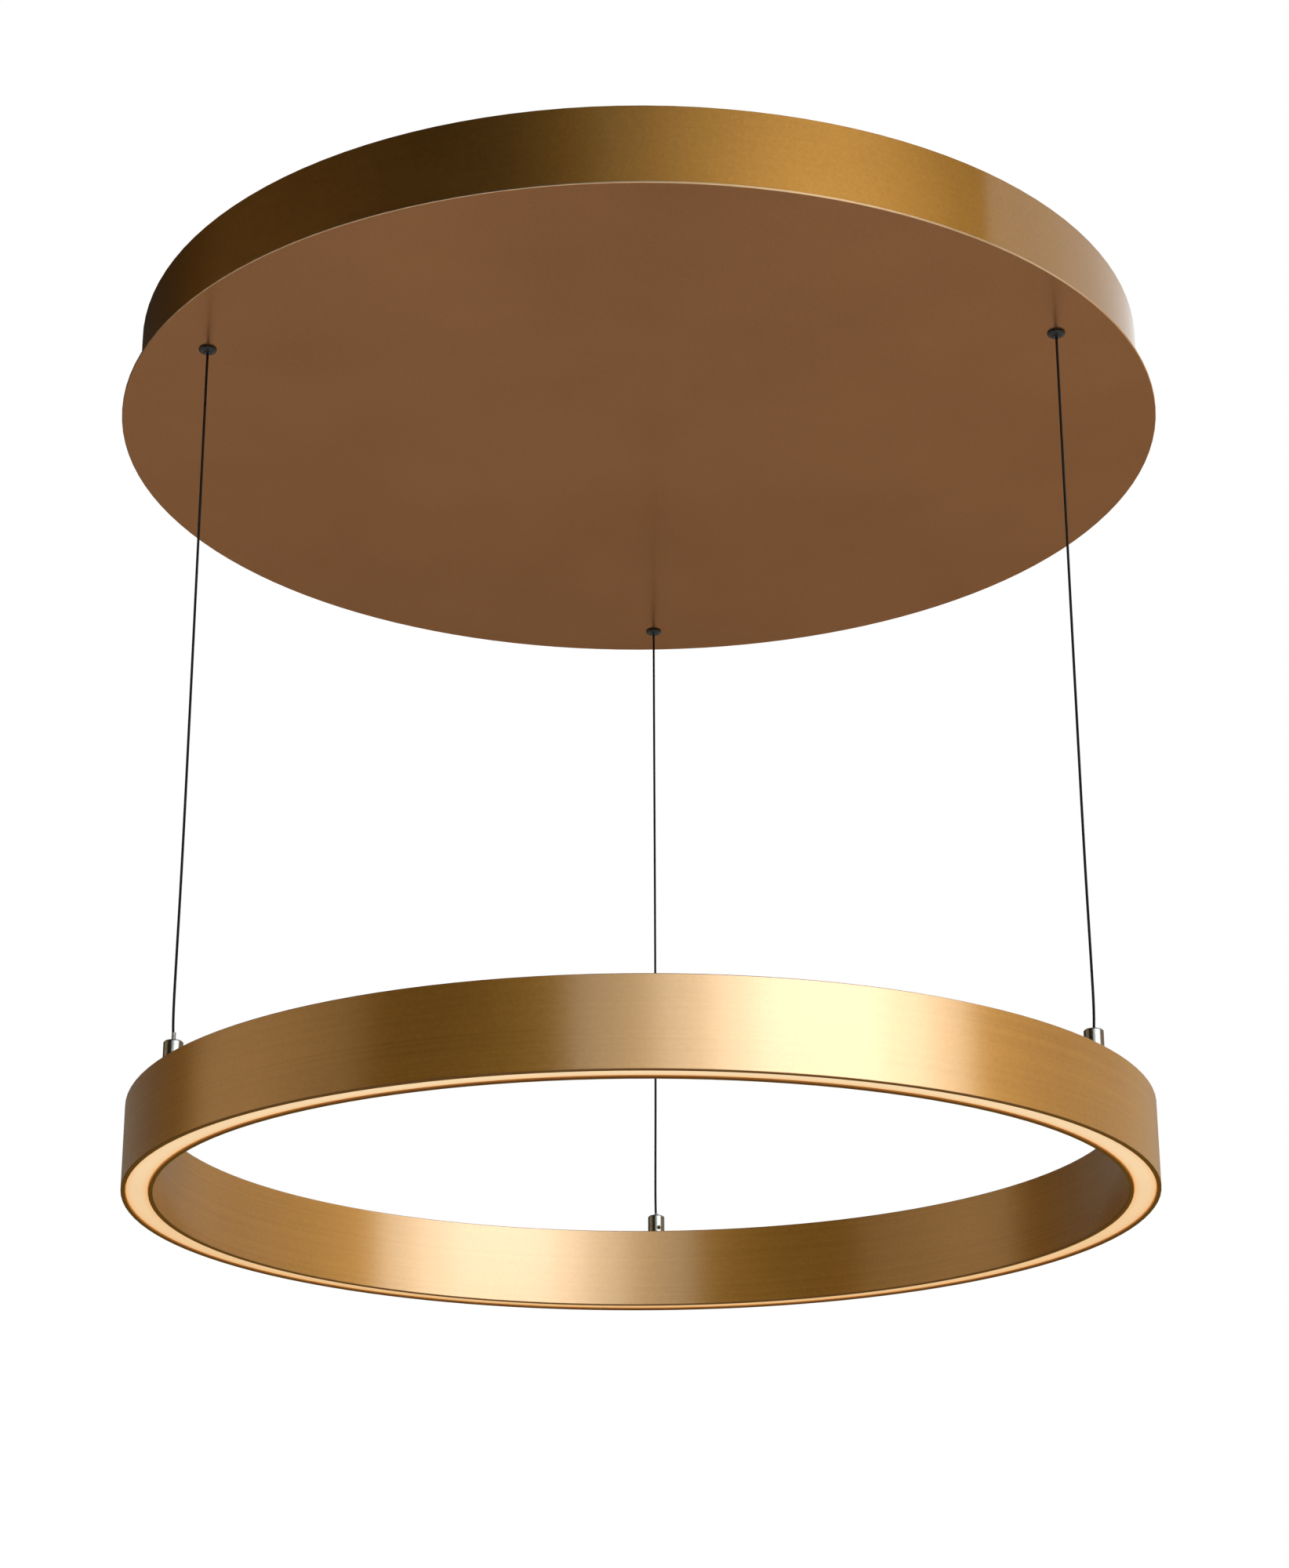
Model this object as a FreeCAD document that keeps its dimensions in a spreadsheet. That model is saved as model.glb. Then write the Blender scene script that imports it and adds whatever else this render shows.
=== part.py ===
import FreeCAD, Part
import math
import os
import re

import Sketcher

# A ring of light hung on three cables from a wide round ceiling canopy.
# Origin: centre of the ceiling plane, +Z up. Everything hangs below it. Lengths in mm.

DIMENSIONS = [
    ("RingDia", 600, "light ring, outside diameter"),
    ("RingWidth", 18, "light ring, width of its section"),
    ("RingTall", 50, "light ring, height of its section"),
    ("RingWall", 2.4, "light ring, wall of the section"),
    ("EdgeBreak", 0.35, "broken edges of the metalwork"),
    ("WebAbove", 16, "ring bottom to the underside of the inner web"),
    ("WebThick", 2, "inner web of the section"),
    ("CoverThick", 1.5, "strip that closes the top of the ring"),
    ("RebateWide", 1.2, "step in each wall that carries the cover strip"),
    ("SideGap", 0.15, "clearance beside a piece that is let into the section"),
    ("DiffuserRecess", 1.2, "ring bottom to the face of the diffuser"),
    ("DiffuserThick", 2, "diffuser face"),
    ("DiffuserLeg", 6, "clip legs of the diffuser, above its face"),
    ("DiffuserLegThick", 1, "thickness of the clip legs"),
    ("StripWide", 10, "light strip, width"),
    ("StripThick", 0.4, "light strip, thickness"),
    ("ChipLong", 3.5, "light chip, along the ring"),
    ("ChipWide", 2.8, "light chip, across the ring"),
    ("ChipTall", 0.7, "light chip, height"),
    ("ChipCount", 120, "light chips round the ring"),
    ("HangGap", 440, "ring top to the underside of the canopy"),
    ("CableDia", 1.5, "suspension cable with its sheath"),
    ("CableGap", 0.2, "clearance round the cable in a bore"),
    ("ConnectorDia", 11, "cable connector on the ring, diameter"),
    ("ConnectorTall", 12, "cable connector, height above the ring"),
    ("ConnectorEdge", 0.8, "cable connector, chamfer of its top edge"),
    ("StemDia", 6, "threaded stem below the connector"),
    ("StemLong", 14, "length of the stem"),
    ("GrubDia", 3, "grub screw in the side of the connector"),
    ("GrubLong", 3.6, "length of the grub screw"),
    ("GrubAbove", 3.2, "height of the grub screw above the ring"),
    ("SleeveDia", 2.4, "clear sleeve on the cable end"),
    ("SleeveLong", 8, "length of the clear sleeve"),
    ("SleeveShowFar", 1.8, "far sleeve, length that stands out of the connector"),
    ("SleeveShowLeft", 5, "left sleeve, length that stands out"),
    ("SleeveShowRight", 0.8, "right sleeve, length that stands out"),
    ("BlockLong", 26, "anchor block in the ring, length"),
    ("BlockTall", 20, "anchor block, height"),
    ("BlockScrewDia", 4, "screws that hold an anchor block"),
    ("BlockScrewPitch", 18, "distance between the two screws of a block"),
    ("BlockHeadDia", 7, "head of a block screw"),
    ("BlockHeadTall", 2.4, "height of the head of a block screw"),
    ("LeadDia", 1.2, "feed leads in the ring"),
    ("LeadAbove", 1.5, "feed leads, axis above the web"),
    ("LeadBore", 2, "bore for a feed lead in an anchor block"),
    ("FeedHoleDia", 2.2, "holes in the web for the feed leads"),
    ("LeadSide", 4.2, "feed leads, distance outward of the cable circle"),
    ("LeadTurn", 2.4, "radius at which a feed lead turns down"),
    ("FeedTurn", 3, "feed holes, angle to each side of the feed point"),
    ("CanopyTall", 55, "canopy, height with its face plate"),
    ("DrumOver", 30, "canopy drum, how much wider it is than the ring"),
    ("DrumDia", "=RingDia + DrumOver", "canopy drum, outside diameter"),
    ("DrumThick", 1.2, "canopy drum, sheet"),
    ("FlangeWide", 13, "inward flange at the drum's lower edge"),
    ("FaceLip", 10, "face plate, width that stands out round the drum"),
    ("FaceDia", "=DrumDia + 2 * FaceLip", "face plate, diameter"),
    ("FaceThick", 1.5, "face plate, sheet"),
    ("StudCount", 6, "weld studs on the face plate"),
    ("StudDia", 4, "weld stud, diameter"),
    ("StudTall", 8, "weld stud, height above the plate"),
    ("HoleGap", 0.25, "clearance round a screw or stud in its hole"),
    ("NutAcross", 7, "stud nut, across flats"),
    ("NutTall", 3.2, "stud nut, height"),
    ("BracketWide", 40, "ceiling bracket, width"),
    ("BracketThick", 2, "ceiling bracket, sheet"),
    ("BendEdge", 2.5, "ceiling bracket, outside bevel of a bend"),
    ("BracketEar", 24, "ceiling bracket, depth of its turned ends"),
    ("EarGap", 0.3, "turned end to the inside of the drum"),
    ("SideScrewDia", 4, "canopy side screws, diameter"),
    ("SideScrewLong", 9, "canopy side screws, length below the head"),
    ("SideHeadDia", 7.5, "canopy side screws, head"),
    ("SideHeadTall", 2.2, "canopy side screws, height of the head"),
    ("SideScrewBelow", 14, "canopy side screws, depth below the ceiling"),
    ("CeilingPitch", 150, "ceiling screw holes, hole to hole"),
    ("CeilingHoleDia", 5.5, "ceiling screw holes, diameter"),
    ("OutletDia", 20, "opening for the mains cable"),
    ("DriverStart", 94, "driver, distance from the centre"),
    ("DriverLong", 116, "driver, length of its case"),
    ("DriverWide", 38, "driver, width"),
    ("DriverTall", 26, "driver, height"),
    ("DriverWall", 1.8, "driver, wall of its case"),
    ("DriverFoot", 10, "driver, length of each fixing foot"),
    ("DriverScrewDia", 3.5, "driver fixing screws"),
    ("DriverHeadDia", 6.5, "driver fixing screws, head"),
    ("DriverHeadTall", 2, "driver fixing screws, height of the head"),
    ("BoardThick", 1.6, "driver circuit board"),
    ("BoardAbove", 4, "driver circuit board, above the floor of the case"),
    ("PortDia", 6, "cable holes in the driver's ends"),
    ("PortBelow", 14, "cable holes, depth below the bracket"),
    ("TerminalStart", 22, "terminal block, distance from the centre"),
    ("TerminalLong", 30, "terminal block, along the bracket"),
    ("TerminalWide", 20, "terminal block, across the bracket"),
    ("TerminalTall", 15, "terminal block, height"),
    ("TerminalPitch", 9, "terminal block, pole to pole"),
    ("TerminalScrewDia", 3.4, "terminal clamp screws"),
    ("TerminalScrewDeep", 1, "terminal clamp screws, depth below the face"),
    ("TerminalWireDia", 3.6, "wire holes of the terminal block"),
    ("TerminalWireBelow", 7, "wire holes, depth below the bracket"),
    ("EarthAt", 112, "earth screw, distance from the centre"),
    ("EarthDia", 4, "earth screw, diameter"),
    ("EarthHeadDia", 8, "earth screw, washer head"),
    ("EarthHeadTall", 2.6, "earth screw, height of the head"),
    ("GripFlangeDia", 10.7, "cable grip, black dome under the canopy"),
    ("GripFlangeTall", 2.4, "cable grip, height of the dome"),
    ("GripRim", 0.5, "cable grip, height of the dome's rim"),
    ("GripBarrelDia", 8, "cable grip, threaded barrel"),
    ("GripBarrelTall", 22, "cable grip, barrel above the canopy's underside"),
    ("GripNutAcross", 12, "cable grip, nut across flats"),
    ("GripNutTall", 3.5, "cable grip, nut height"),
    ("PlungerDia", 4.6, "release plunger, diameter"),
    ("PlungerGap", 0.25, "clearance round the plunger"),
    ("PlungerShow", 0.6, "release plunger, length that stands out of the dome"),
    ("PlungerTall", 9, "release plunger, top above the canopy's underside"),
    ("CollarDia", 5.7, "collar at the plunger's top"),
    ("CollarTall", 1, "height of the collar"),
    ("ConeStart", 3.5, "start of the grip cone above the underside"),
    ("ConeEnd", 8, "end of the grip cone"),
    ("BarrelBoreDia", 6.4, "bore of the barrel above the cone"),
    ("BallDia", 1.6, "grip balls"),
    ("BallAbove", 6, "grip balls, above the canopy's underside"),
    ("BallCount", 3, "grip balls in a grip"),
    ("SpringWire", 0.5, "grip spring, wire"),
    ("SpringDia", 3.4, "grip spring, mean diameter"),
    ("SpringTurns", 6, "grip spring, turns"),
    ("CapTall", 2, "grip cap, height above the barrel"),
    ("CapPlug", 1.5, "grip cap, depth in the barrel"),
    ("SlackRise", 3, "cable above the grip cap, before it turns over"),
    ("SlackBend", 12, "radius at which the spare cable turns over"),
    ("SlackLie", 0.3, "spare cable, clearance above the face plate"),
    ("SlackRun", 50, "grip to the start of the coil of spare cable"),
    ("CoilInner", 38, "coil of spare cable, inner radius"),
    ("CoilPitch", 2.4, "coil of spare cable, turn to turn"),
    ("CoilHalfTurns", 8, "coil of spare cable, half turns"),
    ("TailBend", 8, "coil of spare cable, radius at which its end turns in"),
    ("EndSleeveDia", 3.2, "crimp sleeve on a cable's inner end"),
    ("EndSleeveLong", 12, "crimp sleeve, length"),
    ("LeadStop", 0.1, "gap between a lead's end and its crimp sleeve"),
    ("OutputDia", 2, "low-voltage leads from the driver"),
    ("MainsDia", 5, "mains lead between terminal block and driver"),
    ("EarthLeadDia", 2.4, "earth lead"),
]

# The three suspension points, by name and by angle round the ring in degrees.
CABLES = {"far": 90, "left": 210, "right": 330}
POWERED = ("far", "right")

# The feed point of the light strip, midway between the two powered cables, in degrees.
FEED_ANGLE = 30

# The face of a grub screw turns this far from the outward direction, in degrees.
GRUB_TURN = {"far": 200, "left": 75, "right": -95}

# Lead routes inside the canopy: chosen points in mm, first from the place where a lead leaves,
# then from the place where it arrives.
OUTPUT_ROUTES = {
    "right": (
        [(-3.5, -6, 0), (7, -6, 0), (16, -10, -6), (21, -16, -16)],
        [
            (14.9, 68.9, 10.6), (12.9, 60.9, 5), (11.4, 51.9, 4.2), (10.4, 42.9, 2.8), (9.9, 33.4, 1),
            (9.2, 21.9, -0.1), (5.5, 9.5, 0), (0, 0, 0),
        ],
    ),
    "far": (
        [(-3.5, 6, 0), (7, 6, 0), (16, 10, -6), (19, 20, -17)],
        [
            (251.7, -199, 7.6), (235.7, -179, 0.6), (209.7, -151, -0.6), (177.7, -125, -0.5),
            (143.7, -101, -0.6), (111.7, -81, -0.5), (83.7, -66, -0.6), (59.7, -53, 0), (37.7, -41, 3),
            (17.7, -30, 4.2), (-1.3, -24, 3.8), (-17.3, -23, 1.8), (-32.9, -22.6, 0.3), (-39.9, -11.4, 0),
            (-32.9, 0, -0.2), (-16.3, 0, 0), (0, 0, 0),
        ],
    ),
}
MAINS_ROUTE = (
    [(0.3, 0, 0), (11, 0, 0), (26, -1, -3), (42, -2.4, -6.6)],
    [(-56, -2.4, -1.4), (-38, -1.4, -1.4), (-23, 0, 0), (-10, 0.2, 0), (2, 0, 0)],
)
EARTH_ROUTE = (
    [(0, 0, 0), (-8, 0.4, -0.6), (-17, 1.6, -3), (-27, 2.6, -5)],
    [(22, 10.2, -11), (14, 7.2, -7.6), (8, 4, -4.6), (4, 2.2, -3.4)],
)

os.makedirs("parts", exist_ok=True)
doc = FreeCAD.newDocument("ring_chandelier")
sheet = doc.addObject("Spreadsheet::Sheet", "Dims")
for row, (alias, size, note) in enumerate(DIMENSIONS, 1):
    sheet.set(f"A{row}", note)
    sheet.set(f"B{row}", str(size))
    sheet.setAlias(f"B{row}", alias)
doc.recompute()

nodes = {}

# Sizes that follow from the driving dimensions.
RING_OUT = "RingDia / 2"
RING_IN = "(RingDia / 2 - RingWidth)"
CHANNEL_OUT = "(RingDia / 2 - RingWall)"
CHANNEL_IN = "(RingDia / 2 - RingWidth + RingWall)"
CIRCLE = "(RingDia - RingWidth) / 2"
FACE_Z = "-CanopyTall"
RING_Z = "-(CanopyTall + HangGap + RingTall)"
RING_TOP_Z = "-(CanopyTall + HangGap)"
WEB_TOP = "(WebAbove + WebThick)"
COVER_LOW = "(RingTall - CoverThick)"
CABLE_BORE = "(CableDia / 2 + CableGap)"
BARREL_TOP = "GripBarrelTall"
CAP_TOP = "(GripBarrelTall + CapTall)"
STUD_CIRCLE = "(DrumDia / 2 - FlangeWide / 2 - DrumThick / 2)"
EAR_X = "(sqrt((DrumDia / 2 - DrumThick) ^ 2 - (BracketWide / 2) ^ 2) - EarGap)"


def bound(text):
    """The formula with each dimension's name led by its sheet."""
    return re.sub(r"\b([A-Z][A-Za-z]+)\b", r"Dims.\1", str(text))


def size(text):
    """The value of a formula, now."""
    return float(sheet.evalExpression(bound(text)))


def tie(item, path, text):
    """Binds one property to the sheet."""
    item.setExpression(path, bound(text))


def place(item, x=0, y=0, z=0, turn=0):
    """Turns a piece about the vertical and moves it, with the move tied to the sheet."""
    item.Placement = FreeCAD.Placement(
        FreeCAD.Vector(size(x), size(y), size(z)),
        FreeCAD.Rotation(FreeCAD.Vector(0, 0, 1), turn),
    )
    for axis, text in (("x", x), ("y", y), ("z", z)):
        if re.search("[A-Z]", str(text)):
            tie(item, f"Placement.Base.{axis}", text)
    return item


def on_circle(item, angle, z):
    """Places a piece on the cable circle, with its X axis pointing outward."""
    return place(item, f"{CIRCLE} * cos({angle} deg)", f"{CIRCLE} * sin({angle} deg)", z, angle)


def keep(name, item):
    """Names a finished sub-part."""
    item.Label = name
    nodes[name] = item
    return item


def new_body(name):
    body = doc.addObject("PartDesign::Body", f"body_{name}")
    body.AllowCompound = True
    return body


def sketch_on(body, plane, lift=0):
    """A sketch on one of the body's own origin planes, lifted along the plane's normal."""
    sketch = body.newObject("Sketcher::SketchObject", f"{body.Name}_sketch")
    own_plane = [part for part in body.Origin.OriginFeatures if part.Role == plane][0]
    sketch.AttachmentSupport = [(own_plane, "")]
    sketch.MapMode = "FlatFace"
    if lift:
        sketch.AttachmentOffset.Base.z = size(lift)
        tie(sketch, "AttachmentOffset.Base.z", lift)
    return sketch


def polygon(sketch, corners):
    """A closed outline whose corners are tied to the sheet."""
    spots = [FreeCAD.Vector(size(across), size(up), 0) for across, up in corners]
    first = sketch.GeometryCount
    count = len(spots)
    for start, end in zip(spots, spots[1:] + spots[:1]):
        sketch.addGeometry(Part.LineSegment(start, end), False)
    for number in range(count):
        following = first + (number + 1) % count
        sketch.addConstraint(Sketcher.Constraint("Coincident", first + number, 2, following, 1))
    for number, (across, up) in enumerate(corners):
        for kind, text in (("DistanceX", across), ("DistanceY", up)):
            rule = Sketcher.Constraint(kind, -1, 1, first + number, 1, size(text))
            index = sketch.addConstraint(rule)
            if re.search("[A-Z]", str(text)):
                tie(sketch, f"Constraints[{index}]", text)


def circles(sketch, centres, diameter):
    """Circles whose centres and diameters are tied to the sheet."""
    for across, up in centres:
        centre = FreeCAD.Vector(size(across), size(up), 0)
        ring = Part.Circle(centre, FreeCAD.Vector(0, 0, 1), size(diameter) / 2)
        item = sketch.addGeometry(ring, False)
        rules = [
            (Sketcher.Constraint("DistanceX", -1, 1, item, 3, size(across)), across),
            (Sketcher.Constraint("DistanceY", -1, 1, item, 3, size(up)), up),
            (Sketcher.Constraint("Diameter", item, size(diameter)), diameter),
        ]
        for rule, text in rules:
            index = sketch.addConstraint(rule)
            if re.search("[A-Z]", str(text)):
                tie(sketch, f"Constraints[{index}]", text)


def turned(name, corners):
    """A body of revolution about the vertical, from (radius, height) corners."""
    body = new_body(name)
    sketch = sketch_on(body, "XZ_Plane")
    polygon(sketch, corners)
    turn = body.newObject("PartDesign::Revolution", f"{name}_turned")
    turn.Profile = sketch
    turn.ReferenceAxis = (sketch, ["V_Axis"])
    turn.Angle = 360
    doc.recompute()
    return body


def pattern(body, feature, count):
    """Repeats the body's last feature round the vertical."""
    copies = body.newObject("PartDesign::PolarPattern", f"{feature.Name}_pattern")
    copies.Originals = [feature]
    copies.Axis = ([part for part in body.Origin.OriginFeatures if part.Role == "Z_Axis"][0], [""])
    copies.Angle = 360
    copies.Occurrences = int(size(count))
    if re.search("[A-Z]", str(count)):
        tie(copies, "Occurrences", count)
    body.Tip = copies
    doc.recompute()


def holes(body, centres, diameter, count=1):
    """Round holes right through, along the vertical, repeated round the axis."""
    before = body.Shape.Volume
    sketch = sketch_on(body, "XY_Plane")
    circles(sketch, centres, diameter)
    cut = body.newObject("PartDesign::Pocket", f"{body.Name}_holes")
    cut.Profile = sketch
    cut.Type = 1
    cut.Midplane = True
    doc.recompute()
    if size(count) > 1:
        pattern(body, cut, count)
    if body.Shape.Volume >= before:
        raise RuntimeError(f"{body.Name}: the holes cut nothing")


def box(length, width, height, x, y, z):
    """A block from its lowest corner, tied to the sheet."""
    block = doc.addObject("Part::Box", "block")
    for path, text in (("Length", length), ("Width", width), ("Height", height)):
        tie(block, path, text)
    return place(block, x, y, z)


def rod(diameter, length, x, y, z, along="z"):
    """A cylinder from the centre of its first end, along x, y or z."""
    bar = doc.addObject("Part::Cylinder", "rod")
    tie(bar, "Radius", f"({diameter}) / 2")
    tie(bar, "Height", length)
    place(bar, x, y, z)
    lean = {"x": (0, 1, 0, 90), "y": (1, 0, 0, -90), "z": (0, 0, 1, 0)}[along]
    bar.Placement.Rotation = FreeCAD.Rotation(FreeCAD.Vector(*lean[:3]), lean[3])
    return bar


def joined(pieces):
    """One solid from pieces that touch or overlap."""
    whole = doc.addObject("Part::MultiFuse", "joined")
    whole.Shapes = pieces
    whole.Refine = True
    return whole


def less(base, tools):
    """The base with the tools cut out of it."""
    cut = doc.addObject("Part::Cut", "cut")
    cut.Base = base
    cut.Tool = tools[0] if len(tools) == 1 else joined(tools)
    doc.recompute()
    if cut.Shape.Volume >= base.Shape.Volume:
        raise RuntimeError("a cut removed nothing")
    return cut


def group(pieces):
    """Separate solids that share a node."""
    whole = doc.addObject("Part::Compound", "group")
    whole.Links = pieces
    return whole


def hexagon(across, tall, bore, x, y, z):
    """A hexagon nut."""
    prism = doc.addObject("Part::Prism", "hexagon")
    prism.Polygon = 6
    tie(prism, "Circumradius", f"({across}) / sqrt(3)")
    tie(prism, "Height", tall)
    place(prism, x, y, z)
    return less(prism, [rod(bore, tall, x, y, z)])


# Light ring


def ring_profile():
    """The H-shaped section: light channel below the web, wire channel above it."""
    step_in = f"({CHANNEL_IN} - RebateWide)"
    step_out = f"({CHANNEL_OUT} + RebateWide)"
    body = turned("ring_profile", [
        (f"{RING_IN} + EdgeBreak", 0), (CHANNEL_IN, 0), (CHANNEL_IN, "WebAbove"),
        (CHANNEL_OUT, "WebAbove"), (CHANNEL_OUT, 0), (f"{RING_OUT} - EdgeBreak", 0),
        (RING_OUT, "EdgeBreak"), (RING_OUT, "RingTall - EdgeBreak"),
        (f"{RING_OUT} - EdgeBreak", "RingTall"), (step_out, "RingTall"),
        (step_out, COVER_LOW), (CHANNEL_OUT, COVER_LOW), (CHANNEL_OUT, WEB_TOP),
        (CHANNEL_IN, WEB_TOP), (CHANNEL_IN, COVER_LOW), (step_in, COVER_LOW),
        (step_in, "RingTall"), (f"{RING_IN} + EdgeBreak", "RingTall"),
        (RING_IN, "RingTall - EdgeBreak"), (RING_IN, "EdgeBreak"),
    ])
    spots = [(f"{side} * BlockScrewPitch / 2", CIRCLE) for side in (-1, 1)]
    holes(body, spots, "BlockScrewDia", len(CABLES))
    feed = [feed_spot(name) for name in POWERED]
    holes(body, feed, "FeedHoleDia")
    return place(body, z=RING_Z)


def feed_way(name):
    """Which way a feed lead runs from its cable to the feed point: 1 is towards larger angles."""
    return 1 if (FEED_ANGLE - CABLES[name]) % 360 < 180 else -1


def feed_spot(name):
    """Where a feed lead goes down through the web."""
    angle = f"(({FEED_ANGLE} - {feed_way(name)} * FeedTurn) * 1 deg)"
    return (f"({CIRCLE} + LeadSide) * cos{angle}", f"({CIRCLE} + LeadSide) * sin{angle}")


def ring_top_cover():
    """The strip that lies in the two steps of the section and closes the wire channel."""
    low = f"({CHANNEL_IN} - RebateWide + SideGap)"
    high = f"({CHANNEL_OUT} + RebateWide - SideGap)"
    body = turned("ring_top_cover", [
        (low, 0), (high, 0), (high, "CoverThick - EdgeBreak"),
        (f"{high} - EdgeBreak", "CoverThick"), (f"{low} + EdgeBreak", "CoverThick"),
        (low, "CoverThick - EdgeBreak"),
    ])
    holes(body, [(0, CIRCLE)], "StemDia + 2 * HoleGap", len(CABLES))
    return place(body, z=f"{RING_TOP_Z} - CoverThick")


def diffuser():
    """The opal strip with two clip legs that spring against the channel's walls."""
    low = f"({CHANNEL_IN} + SideGap)"
    high = f"({CHANNEL_OUT} - SideGap)"
    face = "(DiffuserRecess + DiffuserThick)"
    top = f"({face} + DiffuserLeg)"
    body = turned("diffuser", [
        (f"{low} + EdgeBreak", "DiffuserRecess"), (f"{high} - EdgeBreak", "DiffuserRecess"),
        (high, "DiffuserRecess + EdgeBreak"), (high, top), (f"{high} - DiffuserLegThick", top),
        (f"{high} - DiffuserLegThick", face), (f"{low} + DiffuserLegThick", face),
        (f"{low} + DiffuserLegThick", top), (low, top), (low, "DiffuserRecess + EdgeBreak"),
    ])
    return place(body, z=RING_Z)


def led_strip():
    """The flexible circuit on the underside of the web."""
    low = f"({CIRCLE} - StripWide / 2)"
    high = f"({CIRCLE} + StripWide / 2)"
    body = turned("led_strip", [(low, 0), (high, 0), (high, "StripThick"), (low, "StripThick")])
    return place(body, z=f"{RING_Z} + WebAbove - StripThick")


def led_chips():
    """The light chips under the strip, one pad repeated round the ring."""
    body = new_body("led_chips")
    sketch = sketch_on(body, "XY_Plane")
    low = f"({CIRCLE} - ChipWide / 2)"
    high = f"({CIRCLE} + ChipWide / 2)"
    polygon(sketch, [
        (low, "-ChipLong / 2"), (high, "-ChipLong / 2"), (high, "ChipLong / 2"), (low, "ChipLong / 2"),
    ])
    pad = body.newObject("PartDesign::Pad", "chip")
    pad.Profile = sketch
    tie(pad, "Length", "ChipTall")
    doc.recompute()
    pattern(body, pad, "ChipCount")
    return place(body, z=f"{RING_Z} + WebAbove - StripThick - ChipTall")


def anchor_block(name, angle):
    """The block in the wire channel that a connector screws into, held down by two screws."""
    sag = f"({CHANNEL_IN} - sqrt({CHANNEL_IN} ^ 2 - (BlockLong / 2) ^ 2))"
    wide = f"({CHANNEL_OUT} - {CHANNEL_IN} - {sag} - 2 * SideGap)"
    base = box(wide, "BlockLong", "BlockTall", f"-{wide} / 2 - {sag} / 2", "-BlockLong / 2", 0)
    stem_low = "(RingTall - StemLong - WebAbove - WebThick)"
    tools = [
        rod("StemDia + 2 * HoleGap", "BlockTall", 0, 0, f"{stem_low} - HoleGap"),
        rod("CableDia + 4 * CableGap", "BlockTall", 0, 0, "LeadAbove"),
        rod("LeadBore", "LeadSide", 0, 0, "LeadAbove", "x"),
        rod("LeadBore", "BlockLong", "LeadSide", "-BlockLong / 2", "LeadAbove", "y"),
    ]
    for side in (-1, 1):
        at = f"{side} * BlockScrewPitch / 2"
        tools.append(rod("BlockScrewDia + 2 * HoleGap", "BlockTall", 0, at, 0))
        tools.append(rod("BlockHeadDia + 2 * HoleGap", "BlockHeadTall", 0, at, "BlockTall - BlockHeadTall"))
    block = less(base, tools)
    return keep(f"anchor_block_{name}", on_circle(block, angle, f"{RING_Z} + {WEB_TOP}"))


def pan_screw(head_dia, head_tall, shank_dia, shank_long):
    """A screw that points up, with its head below the origin and a driver slot in it."""
    head = rod(head_dia, head_tall, 0, 0, f"-({head_tall})")
    shank = rod(shank_dia, shank_long, 0, 0, 0)
    slot = box(f"0.75 * ({head_dia})", f"0.14 * ({head_dia})", f"({head_tall}) / 2",
               f"-0.375 * ({head_dia})", f"-0.07 * ({head_dia})", f"-({head_tall})")
    return less(joined([head, shank]), [slot])


def anchor_screws():
    """Two screws down through each block into the web, with their heads let into the block."""
    screws = []
    for angle in CABLES.values():
        for side in (-1, 1):
            screw = pan_screw("BlockHeadDia", "BlockHeadTall", "BlockScrewDia - SideGap",
                              "BlockTall - BlockHeadTall + WebThick - EdgeBreak")
            away = f"{side} * BlockScrewPitch / 2"
            place(screw,
                  f"{CIRCLE} * cos({angle} deg) - {away} * sin({angle} deg)",
                  f"{CIRCLE} * sin({angle} deg) + {away} * cos({angle} deg)",
                  f"{RING_Z} + {WEB_TOP} + BlockTall - BlockHeadTall")
            screw.Placement.Rotation = FreeCAD.Rotation(FreeCAD.Vector(1, 0, 0), 180)
            screws.append(screw)
    return keep("anchor_screws", group(screws))


def cable_connector(name, angle):
    """The bright turned fitting: body on the ring, threaded stem below, bore for cable and sleeve."""
    sleeve = "(SleeveDia / 2 + SideGap)"
    seat = f"(ConnectorTall + SleeveShow{name.capitalize()} - SleeveLong)"
    body = turned(f"cable_connector_{name}", [
        (CABLE_BORE, "-StemLong"), ("StemDia / 2", "-StemLong"), ("StemDia / 2", 0),
        ("ConnectorDia / 2", 0), ("ConnectorDia / 2", "ConnectorTall - ConnectorEdge"),
        ("ConnectorDia / 2 - ConnectorEdge", "ConnectorTall"), (sleeve, "ConnectorTall"),
        (sleeve, seat), (CABLE_BORE, seat),
    ])
    fitting = less(body, [rod("GrubDia", "ConnectorDia / 2", 0, 0, "GrubAbove", "x")])
    on_circle(fitting, angle, RING_TOP_Z)
    fitting.Placement.Rotation = FreeCAD.Rotation(FreeCAD.Vector(0, 0, 1), angle + GRUB_TURN[name])
    return keep(f"cable_connector_{name}", fitting)


def connector_grub_screws():
    """One socket grub screw in the side of each connector, just below its surface."""
    screws = []
    for name, angle in CABLES.items():
        start = "(ConnectorDia / 2 - GrubLong - SideGap)"
        thread = rod("GrubDia - 2 * SideGap / 3", "GrubLong", start, 0, "GrubAbove", "x")
        socket = rod("GrubDia / 2", "GrubLong / 2", f"{start} + GrubLong / 2", 0, "GrubAbove", "x")
        screw = on_circle(less(thread, [socket]), angle, RING_TOP_Z)
        turn = angle + GRUB_TURN[name]
        screw.Placement.Rotation = FreeCAD.Rotation(FreeCAD.Vector(0, 0, 1), turn)
        screws.append(screw)
    return keep("connector_grub_screws", group(screws))


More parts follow.
